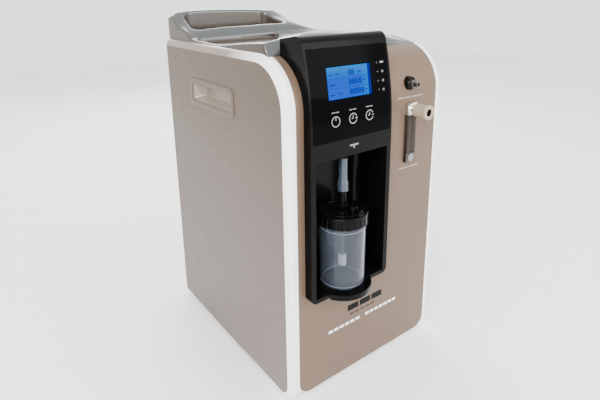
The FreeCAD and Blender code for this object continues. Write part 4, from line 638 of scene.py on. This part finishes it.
def curve_at(values, knots, at):
    """A smooth curve through values at knots, flat beyond its ends, without overshoot."""
    if at <= knots[0]:
        return values[0]
    if at >= knots[-1]:
        return values[-1]
    k = max(i for i in range(len(knots) - 1) if knots[i] <= at)
    slopes = []
    for i in (k, k + 1):
        before = (values[i] - values[i - 1]) / (knots[i] - knots[i - 1]) if i else 0
        after = ((values[i + 1] - values[i]) / (knots[i + 1] - knots[i])
                 if i + 1 < len(knots) else 0)
        slopes.append(0 if before * after <= 0 else 2 * before * after / (before + after))
    span = knots[k + 1] - knots[k]
    t = (at - knots[k]) / span
    return ((2 * t ** 3 - 3 * t ** 2 + 1) * values[k] + (t ** 3 - 2 * t ** 2 + t) * span * slopes[0]
            + (3 * t ** 2 - 2 * t ** 3) * values[k + 1] + (t ** 3 - t ** 2) * span * slopes[1])


def rounded_outline(corners, radius):
    """A closed outline in X and depth with every corner rounded."""
    points = []
    count = len(corners)
    for i, corner in enumerate(corners):
        before, after = corners[i - 1], corners[(i + 1) % count]
        room = 0.45 * min((Vector(other) - Vector(corner)).length for other in (before, after))
        points += rounded_corner(before, corner, after, min(radius, room), CORNER_STEPS)
    return points


def cutter(name, outline, low, high, draft):
    """A prism with sloping walls, to be cut out of the cover."""
    bm = bmesh.new()
    middle = sum((Vector(p) for p in outline), Vector((0, 0))) / len(outline)
    rings = []
    for share, z in ((1 - draft, low), (1.0, high)):
        rings.append([Vector((*(middle + (Vector(p) - middle) * share), z)) for p in outline])
    ring_faces(bm, rings, True, True)
    mesh = finish_mesh(bm, name)
    made = bpy.data.objects.new(name, mesh)
    bpy.context.scene.collection.objects.link(made)
    return made


def top_cover():
    """Grey top: a smooth slab swept up into the carry handle, with two wells moulded in; painted
    shade in dark brown lies inside the wells and on the left outer wall.
    """
    low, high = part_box("top_cover")
    top = SHELL_HIGH.z
    front = SHELL_LOW.y
    count_x, count_y = 72, 90
    bm = bmesh.new()
    rows = []
    for j in range(count_y + 1):
        y = low.y + (high.y - low.y) * j / count_y
        row = []
        for i in range(count_x + 1):
            x = low.x + (high.x - low.x) * i / count_x
            rise = deck_height(x / MM, (y - front) / MM) * MM
            row.append(bm.verts.new((x, y, top + rise)))
        rows.append(row)
    for j in range(count_y):
        for i in range(count_x):
            bm.faces.new((rows[j][i], rows[j][i + 1], rows[j + 1][i + 1], rows[j + 1][i]))
    rim = rows[0] + [r[-1] for r in rows[1:]] + rows[-1][-2::-1]
    rim += [r[0] for r in rows[-2:0:-1]]
    base = [bm.verts.new((v.co.x, v.co.y, low.z)) for v in rim]
    for i in range(len(rim)):
        j = (i + 1) % len(rim)
        bm.faces.new((rim[i], base[i], base[j], rim[j]))
    bm.faces.new(base)
    slab = piece("top_cover_shell", finish_mesh(bm, "top_cover"), "case", "grey_cover",
                 "grey_cover", "well", stands_for=("top_cover",))
    handle = [(-0.132, 0.304), (0.064, 0.304), (0.049, 0.360), (-0.124, 0.360)]
    tray = [(-0.134, 0.066), (-0.118, 0.066), (0.034, 0.288), (-0.134, 0.288)]
    floor = top - 0.003
    tools = []
    for name, corners, radius in (("handle_cut", handle, 0.015), ("tray_cut", tray, 0.010)):
        outline = [(x, front + d) for x, d in rounded_outline(corners, radius)]
        tools.append(cutter(name, outline, floor, high.z + 0.01, 0.02))
    for tool in tools:
        cut = slab.modifiers.new("well", "BOOLEAN")
        cut.object = tool
        cut.solver = "EXACT"
    voxels = slab.modifiers.new("skin", "REMESH")
    voxels.mode = "VOXEL"
    voxels.voxel_size = 0.0015
    soften = slab.modifiers.new("soften", "SMOOTH")
    soften.factor = 0.5
    soften.iterations = 24
    baked(slab)
    for tool in tools:
        bpy.data.objects.remove(tool)
    # painted shade: faces deep in the wells and on the cover's left outer wall get the dark brown
    # well paint
    for face in slab.data.polygons:
        x, y, z = face.center
        deck = top + deck_height(x / MM, (y - front) / MM) * MM
        inside = abs(x) < high.x - 0.006 and y < high.y - 0.006
        shaded_left_wall = x < low.x + 0.0012
        face.material_index = int(shaded_left_wall or (inside and deck - z > 0.004))


# ------------------------------------------------------------------ console

HOUSING_LOW, HOUSING_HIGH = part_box("console_housing")
PLATE_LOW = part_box("console_face")[0]
LEAN_RADIUS = 0.490
LEAN_START = PLATE_LOW.z - 0.0015


def on_face(x, z, out=0.0):
    """Place and outward direction on the console's leaning face, at a height."""
    rise = max(z - LEAN_START, 0.0)
    y = HOUSING_LOW.y + LEAN_RADIUS - math.sqrt(LEAN_RADIUS ** 2 - rise ** 2)
    lean = math.asin(rise / LEAN_RADIUS)
    outward = Vector((0, -math.cos(lean), math.sin(lean)))
    return Vector((x, y, z)) + outward * out, outward


def printed(name, body, paint, slot, origin, outward, shapes, thick=0.00012):
    """Flat printed shapes: each is a closed list of (across, up) points from the origin."""
    across = Vector((1, 0, 0))
    up = across.cross(-outward)
    bm = bmesh.new()
    for shape in shapes:
        rings = [[origin + across * u + up * v + outward * rise for u, v in shape]
                 for rise in (-0.0002, thick)]
        ring_faces(bm, rings, True, True)
    return piece(name, finish_mesh(bm, name), body, slot, paint)


def bar(left, right, low, high):
    """A rectangle for printed()."""
    return [(left, low), (right, low), (right, high), (left, high)]


def arc_band(radius, width, start, end, steps=40):
    """A band along an arc, for printed(), in pieces so that each stays convex enough."""
    bands = []
    for k in range(steps):
        a = math.radians(start + (end - start) * k / steps)
        b = math.radians(start + (end - start) * (k + 1) / steps)
        corners = ((radius - width, a), (radius, a), (radius, b), (radius - width, b))
        bands.append([(r * math.cos(t), r * math.sin(t)) for r, t in corners])
    return bands


def key_marks():
    """White icons on the three keys: a power sign, and two clocks for more and less time."""
    ring, band, stroke = 0.0074, 0.0013, 0.0006
    power = arc_band(ring, band, 0, 360) + [bar(-stroke, stroke, 0.0012, ring)]
    clock = arc_band(ring, band, 24, 336)
    clock += [bar(-stroke, stroke, -0.0006, 0.0046), bar(-0.0030, stroke, -0.0006, 0.0006)]
    minus = clock + [bar(0.0040, 0.0080, -0.0005, 0.0005)]
    plus = minus + [bar(0.0055, 0.0065, -0.0020, 0.0020)]
    for node, shapes in (("key_power", power), ("key_timer_more", plus),
                         ("key_timer_less", minus)):
        low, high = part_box(node)
        centre = (low + high) / 2
        outward = on_face(centre.x, centre.z)[1]
        front = centre + outward * 0.0033
        printed(f"{node}_icon", body_of(node), "mark", "black_gloss", front, outward, shapes)
        label, outward = on_face(centre.x, centre.z + 0.0122)
        words = [bar(-0.0062, -0.0008, -0.0006, 0.0006), bar(0.0002, 0.0062, -0.0006, 0.0006)]
        printed(f"{node}_label", "case", "mark", "black_gloss", label, outward, words)


def eight(left, low, tall):
    """The seven segments of a digit as outlines."""
    wide, thick, slit = tall * 0.50, tall * 0.19, tall * 0.02
    half = tall / 2
    right = left + wide
    shapes = []
    for u, v, upright in ((left, tall, False), (right, half, True), (right, 0, True),
                          (left, 0, False), (left, 0, True), (left, half, True),
                          (left, half, False)):
        length = (half if upright else wide) - 2 * slit
        h = thick / 2
        run = [(slit, 0), (slit + h, -h), (length, -h), (length + slit, 0), (length, h),
               (slit + h, h)]
        shapes.append([(u + (b if upright else a), low + v + (a if upright else b))
                       for a, b in run])
    return shapes


def display():
    """Blue display: body, lit sheet, dark strip at its right edge, and three rows of digits."""
    low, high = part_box("lcd_module")
    refined("lcd_module", "black_gloss", 0.0002, 2, slot="display", name="display_body")
    middle_z = LEAN_START + 0.0772
    centre, outward = on_face((low.x + high.x) / 2, middle_z, -0.00085)
    wide, tall = (high.x - low.x) / 2 - 0.0004, 0.0209
    strip = 0.0052
    printed("display_sheet", "case", "display", "display", centre, outward,
            [bar(-wide, wide - strip, -tall, tall)], 0.0003)
    printed("display_edge", "case", "segment", "display", centre, outward,
            [bar(wide - strip + 0.0002, wide, -tall, tall)], 0.0003)
    shapes = []
    left, height = -0.0010, 0.0062
    pitch = height * 0.86
    for count, base in ((2, 0.0090), (4, -0.0036), (5, -0.0166)):
        for k in range(count):
            decimal_gap = 0.0022 if count == 4 and k == 3 else 0
            shapes += eight(left + k * pitch + decimal_gap, base, height)
    shapes += [bar(0.0152, 0.0164, -0.0026, -0.0014), bar(0.0152, 0.0164, 0.0004, 0.0016)]
    small = ((-0.0350, -0.0275, 0.0100), (-0.0240, -0.0170, 0.0106), (0.0155, 0.0215, 0.0108),
             (-0.0350, -0.0250, -0.0030), (0.0235, 0.0290, -0.0010),
             (-0.0350, -0.0260, -0.0160), (-0.0200, -0.0130, -0.0152), (0.0265, 0.0305, -0.0140))
    for left, right, base in small:
        step = 0.0019
        for k in range(int((right - left) / step)):
            shapes.append(bar(left + k * step, left + k * step + 0.0013, base, base + 0.0016))
    lines = [bar(-wide + 0.002, wide - strip - 0.002, base, base + 0.0003)
             for base in (0.0056, -0.0072)]
    printed("display_digits", "case", "segment", "display", centre + outward * 0.0003, outward,
            shapes + lines, 0.0001)


def console_marks():
    """Lamp marks beside the display, and the pointer on the band over the bay."""
    low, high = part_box("indicator_lamps")
    across = (low.x + high.x) / 2
    for k in range(4):
        z = high.z - 0.0014 - k * 0.0125
        place, outward = on_face(across + 0.0088, z, 0.0001)
        half = 0.0034 if k == 0 else 0.0016
        shape = [bar(-half, half, -0.0012, 0.0012)]
        if k:
            shape = arc_band(0.0018, 0.0007, 0, 360, 20)
        printed(f"lamp_mark_{k + 1}", "case", "mark", "black_gloss", place, outward, shape)
    place = Vector(((HOUSING_LOW.x + HOUSING_HIGH.x) / 2 + 0.001, HOUSING_LOW.y,
                    LEAN_START - 0.0105))
    pointer = [bar(-0.0078, -0.0012, 0.0, 0.0022), bar(-0.0004, 0.0078, 0.0, 0.0022),
               [(-0.0024, -0.0004), (0.0, -0.0044), (0.0024, -0.0004)]]
    printed("bay_pointer", "case", "mark", "black", place, Vector(FRONTWARD), pointer)


def console():
    """Black console: soft-edged housing, gloss plate, keys, lamps, display and marks."""
    refined("console_housing", "black", 0.0016, 4)
    for node in ("console_face", "key_power", "key_timer_more", "key_timer_less"):
        refined(node, "black_gloss", 0.0004)
    refined("indicator_lamps", "clear", 0.0003)
    for node, width in (("humidifier_bay", 0.0012), ("shelf_lip", 0.0012),
                        ("oxygen_port", 0.0004)):
        refined(node, "black", width)
    key_marks()
    display()
    console_marks()


# ------------------------------------------------------------------ humidifier

def humidifier():
    """Jar, cap, stem, link tube, outlet, dip tube and diffuser."""
    low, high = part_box("jar")
    cap_low, cap_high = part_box("humidifier_cap")
    axis = Vector(((low.x + high.x) / 2, (low.y + high.y) / 2, 0))
    foot, mouth, neck, wall = 0.0334, (high.x - low.x) / 2, 0.0336, 0.0018
    shoulder = cap_low.z - 0.0003
    outer = [(0.0, low.z + 0.0012), (foot - 0.010, low.z + 0.0012), (foot - 0.008, low.z),
             (foot - 0.0015, low.z), (foot + 0.0002, low.z + 0.006),
             (mouth - 0.0006, shoulder - 0.004), (mouth, shoulder - 0.002), (mouth, shoulder),
             (neck, shoulder + 0.0002), (neck, high.z)]
    inner = [(neck - wall, high.z), (neck - wall, shoulder - 0.003),
             (foot - wall, low.z + 0.008), (foot - wall - 0.004, low.z + 0.003),
             (0.0, low.z + 0.003)]
    bm = bmesh.new()
    profile = soft_profile(outer, 0.003) + soft_profile(inner, 0.003)
    turned(bm, axis, UP, off_axis(profile), 96)
    piece("jar_wall", finish_mesh(bm, "jar", 60), "humidifier_jar", "clear", "milky",
          stands_for=("jar",))
    for node, width in (("humidifier_cap", 0.0005), ("inlet_stem", 0.0008),
                        ("outlet_barb", 0.0006)):
        refined(node, "black", width)
    refined("bubble_diffuser", "porous", 0.0008)
    refined("dip_tube", "milky", 0.0003, slot="clear")
    jar_marks(axis, foot)
    cap_rings(axis, cap_high)
    low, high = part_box("link_tube")
    wide, slim = (high.x - low.x) / 2, 0.0062
    bore = 0.0041
    outer = [(bore, low.z), (wide - 0.0006, low.z), (wide, low.z + 0.001),
             (wide, low.z + 0.0142), (slim, low.z + 0.0175), (slim, high.z)]
    inner = [(bore, high.z), (bore, low.z)]
    bm = bmesh.new()
    turned(bm, axis, UP, soft_profile(outer, 0.002) + inner, 48, (False, False))
    piece("link_tube_wall", finish_mesh(bm, "link_tube", 50), "humidifier", "clear_blue",
          "clear_blue", stands_for=("link_tube",))


def jar_marks(axis, foot):
    """Beads moulded round the jar: one at its foot and one under the cap."""
    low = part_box("jar")[0]
    cap_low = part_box("humidifier_cap")[0]
    size = 0.0005
    bm = bmesh.new()
    for radius, z in ((foot - 0.0036, low.z + 0.0042), (foot - 0.0004, cap_low.z - 0.0065)):
        bead = [(radius + size * math.cos(a), z + size * math.sin(a))
                for a in (math.pi * k / 4 for k in range(9))]
        turned(bm, axis, UP, bead, 72, (False, False))
    piece("jar_beads", finish_mesh(bm, "jar_beads", 80), "humidifier_jar", "clear", "frost")


def cap_rings(axis, cap_high):
    """Raised rings on top of the humidifier's cap."""
    bm = bmesh.new()
    for radius in (0.016, 0.028):
        rings = [(radius - 0.0012, cap_high.z - 0.0002), (radius - 0.0008, cap_high.z + 0.0007),
                 (radius + 0.0008, cap_high.z + 0.0007), (radius + 0.0012, cap_high.z - 0.0002)]
        turned(bm, axis, UP, rings, 72, (False, False))
    piece("cap_rings", finish_mesh(bm, "cap_rings", 60), "humidifier", "black", "black")


# ------------------------------------------------------------------ flowmeter and port

def front_labels():
    """Plain dashes where a label would be printed on the lower front."""
    for name, paint, z, left, right, tall, words in (
            ("upper_label", "black", 0.128, -0.044, 0.032, 0.0050, 3),
            ("middle_label", "black", 0.116, -0.040, 0.016, 0.0008, 5),
            ("lower_label", "white", 0.102, -0.082, -0.016, 0.0022, 6),
            ("lower_label_end", "white", 0.102, -0.006, 0.066, 0.0022, 7)):
        step = (right - left) / words
        shapes = [bar(left + k * step, left + (k + 1) * step - 0.0028, -tall, tall)
                  for k in range(words)]
        printed(name, "case", paint, paint, Vector((0, SHELL_LOW.y, z)), Vector(FRONTWARD), shapes)


def port_and_meter():
    """Nebuliser port, flowmeter block with its scale, fittings, float, knob and labels."""
    refined("nebuliser_port", "gunmetal", 0.0006, slot="black", extra=("black",),
            paint_of=lambda face: int(face.calc_center_median().y > SHELL_LOW.y - 0.0032))
    refined("flowmeter_block", "smoky", 0.0005, slot="clear")
    low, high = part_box("flowmeter_block")
    middle_z = (low.z + high.z) / 2
    refined("flowmeter_fittings", "chrome", 0.0009, extra=("gunmetal",),
            paint_of=lambda face: int(face.calc_center_median().z < middle_z))
    bm = bmesh.new()
    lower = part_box("flowmeter_fittings")[0]
    boss = [(0.0, -0.0005), (0.0050, -0.0005), (0.0062, 0.0004), (0.0062, 0.0012),
            (0.0052, 0.0020), (0.0030, 0.0022), (0.0024, 0.0014), (0.0, 0.0014)]
    turned(bm, ((low.x + high.x) / 2, low.y, lower.z + 0.0075), FRONTWARD,
           off_axis(soft_profile(boss, 0.0006, 3)), 48)
    piece("meter_boss", finish_mesh(bm, "meter_boss", 50), "case", "chrome", "mark")
    origin = Vector(((low.x + high.x) / 2, low.y, low.z))
    ticks = [bar(-0.0012, 0.0022 if k % 5 else 0.0046, z - 0.00012, z + 0.00012)
             for k, z in ((k, 0.006 + k * 0.005) for k in range(11))]
    printed("flow_scale", "case", "black", "black", origin, Vector(FRONTWARD), ticks, 0.00008)
    knob_low, knob_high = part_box("flow_knob")
    centre = (knob_low + knob_high) / 2
    radius, length = (knob_high.x - knob_low.x) / 2, knob_high.y - knob_low.y
    outer = [(0.0031, 0), (radius * 0.88, 0), (radius * 0.93, 0.002),
             (radius * 0.90, length * 0.72), (radius, length * 0.80), (radius, length),
             (0.0056, length), (0.0050, length - 0.006), (0.0, length - 0.006)]
    bm = bmesh.new()
    turned(bm, (centre.x, knob_high.y, centre.z), FRONTWARD, off_axis(soft_profile(outer, 0.0016)),
           72, (False, True))
    # painted shade: the bottom of the knob's end hollow is painted black
    for face in bm.faces:
        off = face.calc_center_median() - centre
        face.material_index = int(math.hypot(off.x, off.z) < 0.0054 and off.y < 0)
    piece("flow_knob_skin", finish_mesh(bm, "flow_knob", 50), "flow_control", "cream", "cream",
          "black", stands_for=("flow_knob",))
    for name, z, left, right in (("port_label", 0.4455, 0.050, 0.106),
                                 ("meter_label", 0.333, 0.059, 0.103)):
        place = Vector((0, SHELL_LOW.y, z))
        split = left + (right - left) * 0.42
        words = [bar(start, end, -0.0008, 0.0008) for start, end in
                 ((left, split - 0.008), (split - 0.0065, split + 0.004), (split + 0.006, right))]
        printed(name, "case", "pale_mark", "cream", place, Vector(FRONTWARD), words)


# ------------------------------------------------------------------ shell pieces from the frame

def shell():
    """Side panels, grips, trim ring, front, cover, back and base."""
    side_panel("left_side_panel", -1)
    side_panel("right_side_panel", 1)
    left = grip("grip_left", -1)
    grip("grip_right", 1)
    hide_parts("grip_cups")
    refined("front_trim_ring", "white", 0.0012)
    refined("front_panel", "champagne", 0.0006)
    top_cover()
    for node, paint, width in (
            ("rear_panel", "dark_grey", 0.0005), ("filter_door", "dark_grey", 0.0005),
            ("power_inlet", "black", 0.0005), ("breaker_body", "black", 0.0004),
            ("breaker_button", "black", 0.0005), ("rear_screws", "steel", 0.0003),
            ("base_tray", "zinc_sheet", 0.0006)):
        refined(node, paint, width, 2)
    refined("rubber_feet", "rubber", 0.0010)


def finish_the_rest():
    """CAD nodes that stay as they are get their slot's paint and softened edges."""
    slots = {row["node"]: row["material_slot"] for row in frame["record"]["subparts"]}
    for node, made in frame["nodes"].items():
        if made.hide_render:
            continue
        made.data.materials.clear()
        made.data.materials.append(PAINTS[slots[node]])
        weld = made.modifiers.new("weld", "WELD")
        weld.merge_threshold = WELD
        add_bevel(made, 0.0004, 2)


PAINTS = make_paints()
add_camera()
add_stage()
shell()
console()
humidifier()
port_and_meter()
front_labels()
finish_the_rest()
